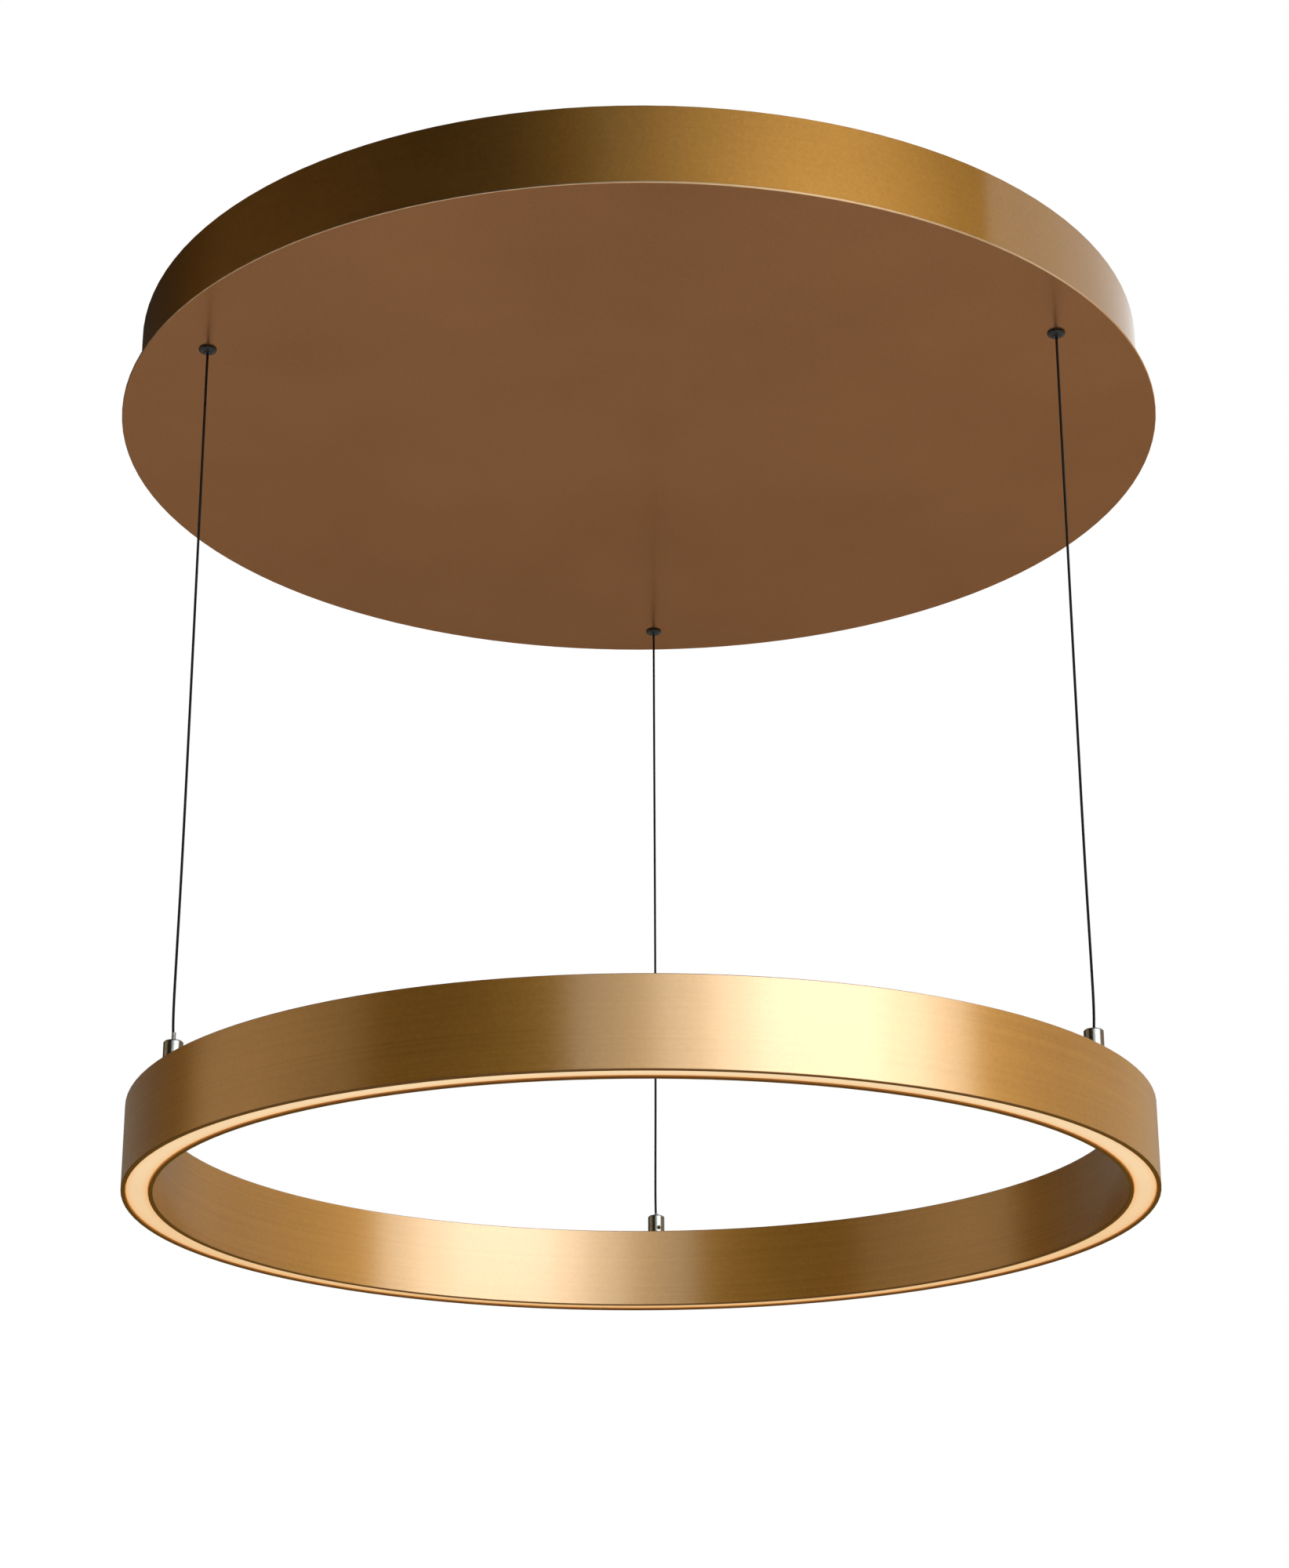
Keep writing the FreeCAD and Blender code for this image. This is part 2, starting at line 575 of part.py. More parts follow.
def cable_sleeve(name, angle):
    """The clear sleeve on the cable's end, let into the connector."""
    tube = turned(f"cable_sleeve_{name}", [
        (CABLE_BORE, 0), ("SleeveDia / 2", 0), ("SleeveDia / 2", "SleeveLong"), (CABLE_BORE, "SleeveLong"),
    ])
    low = f"{RING_TOP_Z} + ConnectorTall + SleeveShow{name.capitalize()} - SleeveLong"
    return keep(f"cable_sleeve_{name}", on_circle(tube, angle, low))


def feed_lead(name):
    """A lead from a cable's end, out through its block, along the wire channel and down to the strip."""
    way = feed_way(name)
    circle = size(CIRCLE)
    radius = size(f"{CIRCLE} + LeadSide")
    turn = size("LeadTurn")
    origin = math.radians(CABLES[name] - (360 if CABLES[name] > FEED_ANGLE + 180 else 0))
    swing = way * math.atan(size("BlockLong / 2") / radius)
    bend = math.radians(FEED_ANGLE - way * size("FeedTurn")) - way * turn / radius
    height = size(f"{RING_Z} + {WEB_TOP} + LeadAbove")
    cable_end = size(f"{RING_TOP_Z} - StemLong - HoleGap")

    def spot(reach, angle, level=height):
        return FreeCAD.Vector(reach * math.cos(angle), reach * math.sin(angle), level)

    begin = spot(circle, origin, cable_end)
    leave = spot(radius, origin + swing)
    edges = route([
        begin, spot(circle, origin), spot(radius / math.cos(swing), origin), leave,
    ])[0]
    corner = spot(radius, bend)
    edges.append(Part.Arc(leave, spot(radius, (origin + swing + bend) / 2), corner).toShape())
    ahead = FreeCAD.Vector(-math.sin(bend) * way, math.cos(bend) * way, 0)
    down = FreeCAD.Vector(0, 0, -1)
    drop = corner + ahead * turn + down * turn
    halfway = corner + ahead * turn * math.sin(math.pi / 4) + down * turn * (1 - math.cos(math.pi / 4))
    edges.append(Part.Arc(corner, halfway, drop).toShape())
    foot = FreeCAD.Vector(drop.x, drop.y, size(f"{RING_Z} + WebAbove"))
    edges.append(Part.LineSegment(drop, foot).toShape())
    return feature(f"feed_lead_{name}", sweep(edges, begin, down, size("LeadDia")))


# Cables and leads


def feature(name, shape):
    """A sub-part whose shape is worked out above."""
    item = doc.addObject("Part::Feature", name)
    item.Shape = shape
    return keep(name, item)


def sweep(edges, start, direction, diameter):
    """A round tube along edges that meet tangentially."""
    circle = Part.makeCircle(diameter / 2, start, direction)
    path = Part.Wire(edges)
    tube = path.makePipeShell([Part.Wire([circle])], True, False)
    expected = path.Length * math.pi * diameter ** 2 / 4
    if abs(tube.Volume - expected) > 0.01 * expected:
        raise RuntimeError(f"a tube's volume is {tube.Volume:.1f} and should be {expected:.1f}")
    return tube


def route(points):
    """Straight runs joined by tangent arcs, each as large as its two runs allow."""
    spots = [FreeCAD.Vector(*point) for point in points]
    edges = []
    radii = []
    at = spots[0]
    for before, here, after in zip(spots, spots[1:], spots[2:]):
        come = (here - before).normalize()
        leave = (after - here).normalize()
        turn = come.getAngle(leave)
        shorter = min((here - before).Length, (after - here).Length)
        reach = 0.45 * shorter
        radii.append(reach / math.tan(turn / 2))
        start = here - come * reach
        end = here + leave * reach
        inward = (leave - come).normalize()
        depth = radii[-1] * (1 / math.cos(turn / 2) - 1)
        edges.append(Part.LineSegment(at, start).toShape())
        edges.append(Part.Arc(start, here + inward * depth, end).toShape())
        at = end
    edges.append(Part.LineSegment(at, spots[-1]).toShape())
    return edges, radii


def anchor(x, y, z):
    """A point worked out from the sheet."""
    return FreeCAD.Vector(size(x), size(y), size(z))


def output_lead(name, end):
    """A lead from the driver to the end sleeve of a powered cable."""
    at, ahead = end
    mouth = at + ahead * size("EndSleeveLong + LeadStop")
    mouth.z = sleeve_height()
    port = anchor("DriverStart + DriverLong", 0, "-BracketThick - PortBelow")
    return lead(f"output_lead_{name}", OUTPUT_ROUTES[name], port, mouth, "OutputDia")


def mains_lead():
    """The sheathed lead from the terminal block into the driver."""
    clamp = anchor("-TerminalStart", 0, "-BracketThick - TerminalWireBelow")
    port = anchor("DriverStart", 0, "-BracketThick - PortBelow")
    return lead("mains_lead", MAINS_ROUTE, clamp, port, "MainsDia")


def earth_lead():
    """The lead from the terminal block's outer pole to the earth screw."""
    clamp = anchor("-TerminalStart - TerminalLong", "TerminalPitch", "-BracketThick - TerminalWireBelow")
    screw = anchor("-EarthAt", 0, "-BracketThick")
    return lead("earth_lead", EARTH_ROUTE, clamp, screw, "EarthLeadDia")


def lead(name, steps, leaves, arrives, diameter):
    """A lead laid along chosen points, measured from its two ends."""
    leaving, arriving = steps
    points = [tuple(leaves + FreeCAD.Vector(*step)) for step in leaving]
    points += [tuple(arrives + FreeCAD.Vector(*step)) for step in arriving]
    edges, radii = route(points)
    length = sum(edge.Length for edge in edges)
    print(f"{name}: {length:.0f} mm long, radii {[round(radius) for radius in radii]}")
    first, second = FreeCAD.Vector(*points[0]), FreeCAD.Vector(*points[1])
    return feature(name, sweep(edges, first, second - first, size(diameter)))


def cable(name, angle):
    """The taut stretch, from inside its connector to the top of its grip."""
    low = f"(RingTall - StemLong) + {RING_Z}"
    line = rod("CableDia", f"({FACE_Z} + {CAP_TOP}) - ({low})", 0, 0, 0)
    return keep(f"cable_{name}", on_circle(line, angle, low))


def coil_frame(angle):
    """The grip's place on the canopy, and the directions inward and along the circle."""
    turn = math.radians(angle)
    outward = FreeCAD.Vector(math.cos(turn), math.sin(turn), 0)
    along = FreeCAD.Vector(-math.sin(turn), math.cos(turn), 0)
    return outward * size(CIRCLE), outward * -1, along


def cable_slack(name, angle):
    """The spare length: up out of the grip, over, down to the plate, and round in a flat coil."""
    grip, inward, along = coil_frame(angle)
    up = FreeCAD.Vector(0, 0, 1)
    bend = size("SlackBend")
    start = grip + up * size(f"{FACE_Z} + {CAP_TOP}")
    lie = size(f"{FACE_Z} + FaceThick + SlackLie + CableDia / 2")
    top = start + up * size("SlackRise")
    over = top + inward * bend + up * bend
    far_side = top + inward * 2 * bend
    turn_in = FreeCAD.Vector(far_side.x, far_side.y, lie + bend)
    flat = FreeCAD.Vector(far_side.x, far_side.y, lie) + inward * bend
    quarter = turn_in + inward * bend * (1 - math.cos(math.pi / 4)) - up * bend * math.sin(math.pi / 4)
    join = FreeCAD.Vector(grip.x, grip.y, lie) + inward * size("SlackRun")
    edges = [
        Part.LineSegment(start, top).toShape(), Part.Arc(top, over, far_side).toShape(),
        Part.LineSegment(far_side, turn_in).toShape(), Part.Arc(turn_in, quarter, flat).toShape(),
        Part.LineSegment(flat, join).toShape(),
    ]
    radius = size("CoilInner + CoilHalfTurns * CoilPitch / 2")
    at, side, ahead = join, along, inward
    for _ in range(int(size("CoilHalfTurns"))):
        centre = at + side * radius
        middle = centre + ahead * radius
        end = centre + side * radius
        edges.append(Part.Arc(at, middle, end).toShape())
        at, side, ahead = end, side * -1, ahead * -1
        radius -= size("CoilPitch") / 2
    tail = size("TailBend")
    hub = at + side * tail
    middle = hub + (ahead - side) * (tail * math.sin(math.pi / 4))
    edges.append(Part.Arc(at, middle, hub + ahead * tail).toShape())
    at, ahead = hub + ahead * tail, side
    gap = size("CoilPitch - CableDia")
    length = sum(edge.Length for edge in edges)
    print(f"cable_slack_{name}: {length:.0f} mm long, least gap between turns {gap:.2f} mm")
    feature(f"cable_slack_{name}", sweep(edges, start, up, size("CableDia")))
    return at, ahead


def sleeve_height():
    """The level of the crimp sleeves, which lie just above the face plate."""
    return size(f"{FACE_Z} + FaceThick + SlackLie + EndSleeveDia / 2")


def cable_end_sleeves(ends):
    """The crimp sleeve on the inner end of each spare length, face to face with the cable."""
    sleeves = []
    for at, ahead in ends:
        bar = doc.addObject("Part::Cylinder", "rod")
        tie(bar, "Radius", "EndSleeveDia / 2")
        tie(bar, "Height", "EndSleeveLong")
        lifted = FreeCAD.Vector(at.x, at.y, sleeve_height())
        bar.Placement = FreeCAD.Placement(lifted, FreeCAD.Rotation(FreeCAD.Vector(0, 0, 1), ahead))
        sleeves.append(bar)
    return keep("cable_end_sleeves", group(sleeves))


# Cable grips


def grip_barrel(name, angle):
    """Black dome under the plate, threaded barrel through it, and the grip cone inside."""
    guide = "(PlungerDia / 2 + PlungerGap)"
    bore = "BarrelBoreDia / 2"
    flange = "GripFlangeDia / 2"
    rise = "(GripFlangeTall - GripRim)"
    round_face = [
        (f"{guide} + {outward} * ({flange} - {guide})", f"-GripRim - {depth} * {rise}")
        for outward, depth in ((0, 1), (0.2, 0.95), (0.4, 0.85), (0.6, 0.71), (0.8, 0.5), (0.94, 0.26), (1, 0))
    ]
    body = turned(f"grip_barrel_{name}", round_face + [
        (flange, 0), ("GripBarrelDia / 2", 0), ("GripBarrelDia / 2", BARREL_TOP), (bore, BARREL_TOP),
        (bore, "ConeEnd"), (guide, "ConeStart"),
    ])
    return keep(f"grip_barrel_{name}", on_circle(body, angle, FACE_Z))


def grip_cap(name, angle):
    """The cap that closes the barrel and seats the spring."""
    plug = "(BarrelBoreDia / 2 - SideGap)"
    body = turned(f"grip_cap_{name}", [
        (CABLE_BORE, "-CapPlug"), (plug, "-CapPlug"), (plug, 0), ("GripBarrelDia / 2", 0),
        ("GripBarrelDia / 2", "CapTall - EdgeBreak"), ("GripBarrelDia / 2 - EdgeBreak", "CapTall"),
        (CABLE_BORE, "CapTall"),
    ])
    return keep(f"grip_cap_{name}", on_circle(body, angle, f"{FACE_Z} + {BARREL_TOP}"))


def grip_plunger(name, angle):
    """The release plunger: a black tube that cages the balls and stands out of the dome."""
    low = "-(GripFlangeTall + PlungerShow)"
    body = turned(f"grip_plunger_{name}", [
        (CABLE_BORE, low), ("PlungerDia / 2 - EdgeBreak", low), ("PlungerDia / 2", f"{low} + EdgeBreak"),
        ("PlungerDia / 2", "PlungerTall - CollarTall"), ("CollarDia / 2", "PlungerTall - CollarTall"),
        ("CollarDia / 2", "PlungerTall"), (CABLE_BORE, "PlungerTall"),
    ])
    windows = []
    for number in range(int(size("BallCount"))):
        window = rod("BallDia + 2 * SideGap", "PlungerDia", 0, 0, "BallAbove", "x")
        spin = FreeCAD.Rotation(FreeCAD.Vector(0, 0, 1), 360 * number / size("BallCount"))
        window.Placement.Rotation = spin.multiply(window.Placement.Rotation)
        windows.append(window)
    return keep(f"grip_plunger_{name}", on_circle(less(body, windows), angle, FACE_Z))


def grip_balls(name, angle):
    """The steel balls that the cone presses on the cable."""
    out = "(CableDia / 2 + SideGap + BallDia / 2)"
    balls = []
    for number in range(int(size("BallCount"))):
        spin = 360 * number / size("BallCount")
        ball = doc.addObject("Part::Sphere", "ball")
        tie(ball, "Radius", "BallDia / 2")
        place(ball, f"{out} * cos({spin} deg)", f"{out} * sin({spin} deg)", "BallAbove")
        balls.append(ball)
    return keep(f"grip_balls_{name}", on_circle(group(balls), angle, FACE_Z))


def grip_spring(name, angle):
    """The spring between plunger and cap."""
    wire = size("SpringWire")
    low = size("PlungerTall") + wire / 2 + size("SideGap")
    high = size("GripBarrelTall - CapPlug") - wire / 2 - size("SideGap")
    tall = high - low
    helix = Part.makeHelix(tall / size("SpringTurns"), tall, size("SpringDia") / 2)
    helix.translate(FreeCAD.Vector(0, 0, low))
    start = helix.Edges[0].valueAt(helix.Edges[0].FirstParameter)
    heading = helix.Edges[0].tangentAt(helix.Edges[0].FirstParameter)
    circle = Part.Wire([Part.makeCircle(wire / 2, start, heading)])
    spring = Part.Wire(helix.Edges).makePipeShell([circle], True, True)
    item = feature(f"grip_spring_{name}", spring)
    return on_circle(item, angle, FACE_Z)


def grip_nuts():
    """The nut that clamps each barrel to the face plate."""
    nuts = []
    for angle in CABLES.values():
        nut = hexagon("GripNutAcross", "GripNutTall", "GripBarrelDia + SideGap", 0, 0, 0)
        nuts.append(on_circle(nut, angle, f"{FACE_Z} + FaceThick"))
    return keep("grip_nuts", group(nuts))


# Canopy


def canopy_drum():
    """The rolled band with an inward flange at its lower edge and a hole for each side screw."""
    out = "DrumDia / 2"
    inner = "(DrumDia / 2 - DrumThick)"
    body = turned("canopy_drum", [
        (f"{out} - FlangeWide", "FaceThick"), (out, "FaceThick"),
        (out, "CanopyTall - EdgeBreak"), (f"{out} - EdgeBreak", "CanopyTall"),
        (inner, "CanopyTall"), (inner, "FaceThick + DrumThick"),
        (f"{out} - FlangeWide", "FaceThick + DrumThick"),
    ])
    holes(body, [(STUD_CIRCLE, 0)], "StudDia + 2 * HoleGap", "StudCount")
    side = [rod("SideScrewDia + 2 * HoleGap", "DrumDia + FlangeWide", "-(DrumDia + FlangeWide) / 2", 0,
                "CanopyTall - SideScrewBelow", "x")]
    drum = less(body, side)
    return keep("canopy_drum", place(drum, z=FACE_Z))


def canopy_face_plate():
    """The wide thin plate, with weld studs above and a hole for each cable grip."""
    out = "FaceDia / 2"
    body = turned("canopy_face_plate", [
        (0, 0), (f"{out} - EdgeBreak", 0), (out, "EdgeBreak"), (out, "FaceThick - EdgeBreak"),
        (f"{out} - EdgeBreak", "FaceThick"), (0, "FaceThick"),
    ])
    holes(body, [(0, CIRCLE)], "GripBarrelDia + 2 * HoleGap", len(CABLES))
    sketch = sketch_on(body, "XY_Plane", "FaceThick")
    circles(sketch, [(STUD_CIRCLE, 0)], "StudDia")
    stud = body.newObject("PartDesign::Pad", "stud")
    stud.Profile = sketch
    tie(stud, "Length", "StudTall")
    doc.recompute()
    pattern(body, stud, "StudCount")
    return keep("canopy_face_plate", place(body, z=FACE_Z))


def face_plate_nuts():
    """The nuts on the weld studs, above the drum's flange."""
    nuts = []
    count = int(size("StudCount"))
    for number in range(count):
        spin = 360 * number / count
        nut = hexagon("NutAcross", "NutTall", "StudDia + SideGap", 0, 0, 0)
        place(nut, f"{STUD_CIRCLE} * cos({spin} deg)", f"{STUD_CIRCLE} * sin({spin} deg)",
              f"{FACE_Z} + FaceThick + DrumThick", spin)
        nuts.append(nut)
    return keep("face_plate_nuts", group(nuts))


def ceiling_bracket():
    """The strap that is screwed to the ceiling, with its ends turned down inside the drum."""
    body = new_body("ceiling_bracket")
    sketch = sketch_on(body, "XZ_Plane")
    inner = f"({EAR_X} - BracketThick)"
    half = [
        (f"({EAR_X} - BendEdge)", 0), (EAR_X, "-BendEdge"), (EAR_X, "-BracketEar"),
        (inner, "-BracketEar"), (inner, "-BendEdge"), (f"({EAR_X} - BendEdge)", "-BracketThick"),
    ]
    polygon(sketch, half + [(f"-{across}", up) for across, up in reversed(half)])
    pad = body.newObject("PartDesign::Pad", "strap")
    pad.Profile = sketch
    pad.Midplane = True
    tie(pad, "Length", "BracketWide")
    doc.recompute()
    spots = [(f"{step} * CeilingPitch / 2", 0) for step in (-3, -1, 1, 3)]
    holes(body, spots, "CeilingHoleDia")
    holes(body, [(0, 0)], "OutletDia")
    holes(body, [(at, 0) for at in driver_feet()], "DriverScrewDia")
    holes(body, [("-EarthAt", 0)], "EarthDia")
    ears = rod("SideScrewDia", "DrumDia", "-DrumDia / 2", 0, "-SideScrewBelow", "x")
    return keep("ceiling_bracket", less(body, [ears]))


def bracket_side_screws():
    """The two screws through the drum into the bracket's turned ends."""
    screws = []
    for turn in (0, 180):
        screw = pan_screw("SideHeadDia", "SideHeadTall", "SideScrewDia - SideGap", "SideScrewLong")
        way = "" if turn == 0 else "-"
        place(screw, f"{way}(DrumDia / 2 + SideGap)", 0, "-SideScrewBelow")
        lean = FreeCAD.Rotation(FreeCAD.Vector(0, 1, 0), -90)
        screw.Placement.Rotation = FreeCAD.Rotation(FreeCAD.Vector(0, 0, 1), turn).multiply(lean)
        screws.append(screw)
    return keep("bracket_side_screws", group(screws))


# Electrical pieces on the bracket


def driver_feet():
    """The places of the driver's two fixing screws along the bracket."""
    return ("(DriverStart - DriverFoot / 2)", "(DriverStart + DriverLong + DriverFoot / 2)")


def driver_case():
    """The tray with a fixing foot at each end and a cable hole in each end wall."""
    top = "-BracketThick"
    outer = box("DriverLong", "DriverWide", "DriverTall",
                "DriverStart", "-DriverWide / 2", f"{top} - DriverTall")
    feet = [
        box("DriverFoot + DriverWall", "DriverWide", "DriverWall",
            start, "-DriverWide / 2", f"{top} - DriverWall")
        for start in ("DriverStart - DriverFoot", "DriverStart + DriverLong - DriverWall")
    ]
    inside = box("DriverLong - 2 * DriverWall", "DriverWide - 2 * DriverWall",
                 "DriverTall - DriverWall", "DriverStart + DriverWall",
                 "-DriverWide / 2 + DriverWall", f"{top} - DriverTall + DriverWall")
    ports = rod("PortDia", "DriverWall", "DriverStart", 0, f"{top} - PortBelow", "x")
    outputs = [
        rod("OutputDia + 2 * HoleGap", "DriverWall", "DriverStart + DriverLong - DriverWall",
            f"{side} * PortDia", f"{top} - PortBelow", "x")
        for side in (-1, 1)
    ]
    screws = [
        rod("DriverScrewDia + 2 * HoleGap", "DriverTall", at, 0, f"{top} - DriverTall")
        for at in driver_feet()
    ]
    return keep("driver_case", less(joined([outer] + feet), [inside, ports] + outputs + screws))


def driver_lid():
    """The plate let into the top of the tray, against the bracket."""
    lid = box("DriverLong - 2 * DriverWall - 2 * SideGap", "DriverWide - 2 * DriverWall - 2 * SideGap",
              "DriverWall", "DriverStart + DriverWall + SideGap", "-DriverWide / 2 + DriverWall + SideGap",
              "-BracketThick - DriverWall")
    return keep("driver_lid", lid)


def driver_board():
    """The circuit board with its transformer, capacitors and choke."""
    floor = "-BracketThick - DriverTall + DriverWall + BoardAbove"
    start = "DriverStart + DriverWall + SideGap"
    board = box("DriverLong - 2 * DriverWall - 2 * SideGap", "DriverWide - 2 * DriverWall - 2 * SideGap",
                "BoardThick", start, "-DriverWide / 2 + DriverWall + SideGap", floor)
    on_board = f"{floor} + BoardThick"
    tall = "(DriverTall - 2 * DriverWall - BoardAbove - BoardThick)"
    pieces = [
        board,
        box("DriverLong / 5", "DriverWide / 2", f"0.75 * {tall}", f"{start} + DriverLong / 2",
            "-DriverWide / 4", on_board),
        rod("DriverWide / 4", f"0.7 * {tall}", f"{start} + DriverLong / 5", "DriverWide / 5", on_board),
        rod("DriverWide / 4", f"0.6 * {tall}", f"{start} + DriverLong / 5", "-DriverWide / 5", on_board),
        box("DriverLong / 8", "DriverWide / 3", f"0.5 * {tall}", f"{start} + 3 * DriverLong / 10",
            "-DriverWide / 6", on_board),
    ]
    legs = [
        rod("DriverScrewDia", "BoardAbove", f"{start} + {share} * DriverLong", 0,
            "-BracketThick - DriverTall + DriverWall")
        for share in ("0.08", "0.88")
    ]
    return keep("driver_board", joined(pieces + legs))


def driver_screws():
    """The screws through the driver's feet into the bracket."""
    screws = []
    for at in driver_feet():
        screw = pan_screw("DriverHeadDia", "DriverHeadTall", "DriverScrewDia - SideGap",
                          "DriverWall + BracketThick - EdgeBreak")
        screws.append(place(screw, at, 0, "-BracketThick - DriverWall"))
    return keep("driver_screws", group(screws))


def terminal_poles():
    return [f"{step} * TerminalPitch" for step in (-1, 0, 1)]


def terminal_block():
    """The three-pole block under the bracket, wired along X and screwed from below."""
    start = "-(TerminalStart + TerminalLong)"
    wide = "(2 * TerminalPitch + TerminalWide / 2)"
    base = box("TerminalLong", wide, "TerminalTall", start, f"-{wide} / 2", "-BracketThick - TerminalTall")
    tools = []
    for pole in terminal_poles():
        for end in (start, "-TerminalStart - TerminalLong / 3"):
            tools.append(rod("TerminalWireDia", "TerminalLong / 3",
                             end, pole, "-BracketThick - TerminalWireBelow", "x"))
        for side in (-1, 1):
            tools.append(rod("TerminalScrewDia + 2 * SideGap", "TerminalTall / 3",
                             f"{start} + TerminalLong / 2 + {side} * TerminalLong / 4", pole,
                             "-BracketThick - TerminalTall"))
    return keep("terminal_block", less(base, tools))


def terminal_screws():
    """The six clamp screws of the terminal block."""
    screws = []
    middle = "-(TerminalStart + TerminalLong / 2)"
    for pole in terminal_poles():
        for side in (-1, 1):
            low = "-BracketThick - TerminalTall + TerminalScrewDeep"
            x = f"{middle} + {side} * TerminalLong / 4"
            body = rod("TerminalScrewDia", "TerminalTall / 3 - TerminalScrewDeep", x, pole, low)
            slot = box("TerminalScrewDia", "TerminalScrewDia / 5", "TerminalScrewDia / 4",
                       f"{x} - TerminalScrewDia / 2", f"{pole} - TerminalScrewDia / 10", low)
            screws.append(less(body, [slot]))
    return keep("terminal_screws", group(screws))


def earth_screw():
    """The screw that bonds the bracket to the mains earth."""
    screw = pan_screw("EarthHeadDia", "EarthHeadTall", "EarthDia - SideGap", "BracketThick - EdgeBreak")
    return keep("earth_screw", place(screw, "-EarthAt", 0, "-BracketThick"))


def build():
    """Makes every sub-part."""
    keep("ring_profile", ring_profile())
    keep("ring_top_cover", ring_top_cover())
    keep("diffuser", diffuser())
    keep("led_strip", led_strip())
    keep("led_chips", led_chips())
    anchor_screws()
    connector_grub_screws()
    ends = {}
    for name, angle in CABLES.items():
        anchor_block(name, angle)
        cable_connector(name, angle)
        cable_sleeve(name, angle)
        cable(name, angle)
        ends[name] = cable_slack(name, angle)
        grip_barrel(name, angle)
        grip_cap(name, angle)
        grip_plunger(name, angle)
        grip_balls(name, angle)
        grip_spring(name, angle)
    for name in POWERED:
        feed_lead(name)
        output_lead(name, ends[name])
    cable_end_sleeves(ends.values())
    grip_nuts()
    canopy_drum()
    canopy_face_plate()
    face_plate_nuts()
    ceiling_bracket()
    bracket_side_screws()
    driver_case()
    driver_lid()
    driver_board()
    driver_screws()
    terminal_block()
    terminal_screws()
    earth_screw()
    mains_lead()
    earth_lead()
    doc.recompute()


def check():
    """Stops on any failed object or shape."""
    for item in doc.Objects:
        if "Invalid" in item.State or "Error" in item.State:
            raise RuntimeError(f"{item.Name} failed: {item.State}")
    for name, item in nodes.items():
        if item.Shape.isNull() or not item.Shape.isValid() or not item.Shape.Solids:
            raise RuntimeError(f"{name} has no valid solid")


def export():
    for name, item in nodes.items():
        item.Shape.exportStep(f"parts/{name}.step")
    print(f"{len(nodes)} nodes written")


build()
check()
export()
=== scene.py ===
import math

import bmesh
import bpy
from mathutils import Matrix, Vector


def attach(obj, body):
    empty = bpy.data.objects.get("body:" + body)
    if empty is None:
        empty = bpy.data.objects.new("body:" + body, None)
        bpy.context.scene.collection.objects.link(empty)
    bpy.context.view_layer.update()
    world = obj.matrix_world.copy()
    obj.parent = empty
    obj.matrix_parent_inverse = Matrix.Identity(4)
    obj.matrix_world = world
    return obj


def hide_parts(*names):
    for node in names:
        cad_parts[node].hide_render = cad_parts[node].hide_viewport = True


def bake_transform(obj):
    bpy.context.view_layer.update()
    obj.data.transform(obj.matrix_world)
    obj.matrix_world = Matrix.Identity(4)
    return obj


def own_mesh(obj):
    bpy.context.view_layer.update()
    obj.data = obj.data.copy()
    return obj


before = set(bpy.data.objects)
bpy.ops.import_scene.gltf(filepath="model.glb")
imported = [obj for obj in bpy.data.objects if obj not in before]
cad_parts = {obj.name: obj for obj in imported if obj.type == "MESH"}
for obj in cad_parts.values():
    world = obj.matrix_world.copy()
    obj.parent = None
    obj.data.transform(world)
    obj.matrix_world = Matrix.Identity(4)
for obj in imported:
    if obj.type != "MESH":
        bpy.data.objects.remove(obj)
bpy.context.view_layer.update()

# All lengths are in metres, in the frame of the solids: origin in the ceiling plane, +Z up.
MM = 0.001
CABLE_CIRCLE = 0.291
CABLE_ANGLES = {"far": 90, "left": 210, "right": 330}
DISC_RADIUS = 0.325
RING_TOP_Z = -0.495
RING_LOW_Z = -0.545
DIFFUSER_HALF_WIDTH = 0.0066


# Camera, with its angles in radians, and its focal length in pixels of the full image

IMAGE_HEIGHT = 2000
LENS_PIXELS = 4147.04
SENSOR_MM = 36
PITCH, YAW, ROLL = 0.3588, -0.0333, -0.0033
CAMERA_AT = (0.0647, -1.8594, -0.97906)


def make_camera():
    data = bpy.data.cameras.new("camera")
    data.sensor_width = SENSOR_MM
    data.lens = LENS_PIXELS / IMAGE_HEIGHT * SENSOR_MM
    camera = bpy.data.objects.new("camera", data)
    bpy.context.scene.collection.objects.link(camera)
    forward = Vector((math.sin(YAW) * math.cos(PITCH), math.cos(YAW) * math.cos(PITCH), math.sin(PITCH)))
    right = Vector((math.cos(YAW), -math.sin(YAW), 0))
    up = right.cross(forward)
    across = right * math.cos(ROLL) + up * math.sin(ROLL)
    above = up * math.cos(ROLL) - right * math.sin(ROLL)
    turn = Matrix((across, above, -forward)).transposed()
    camera.matrix_world = Matrix.Translation(CAMERA_AT) @ turn.to_4x4()
    bpy.context.scene.camera = camera


make_camera()


# Materials


def new_material(name):
    material = bpy.data.materials.new(name)
    material.use_nodes = True
    tree = material.node_tree
    return material, tree, tree.nodes["Principled BSDF"]


def add(tree, kind, **values):
    """A node with the given properties and unlinked inputs."""
    node = tree.nodes.new(kind)
    for key, value in values.items():
        if key in node.inputs:
            node.inputs[key].default_value = value
        else:
            setattr(node, key, value)
    return node


def wire(tree, source, output, target, socket):
    tree.links.new(source.outputs[output], target.inputs[socket])


def stretched(tree, scale):
    """Object coordinates, scaled apart along the three axes."""
    place = add(tree, "ShaderNodeTexCoord")
    mapping = add(tree, "ShaderNodeMapping")
    mapping.inputs["Scale"].default_value = scale
    wire(tree, place, "Object", mapping, "Vector")
    return mapping


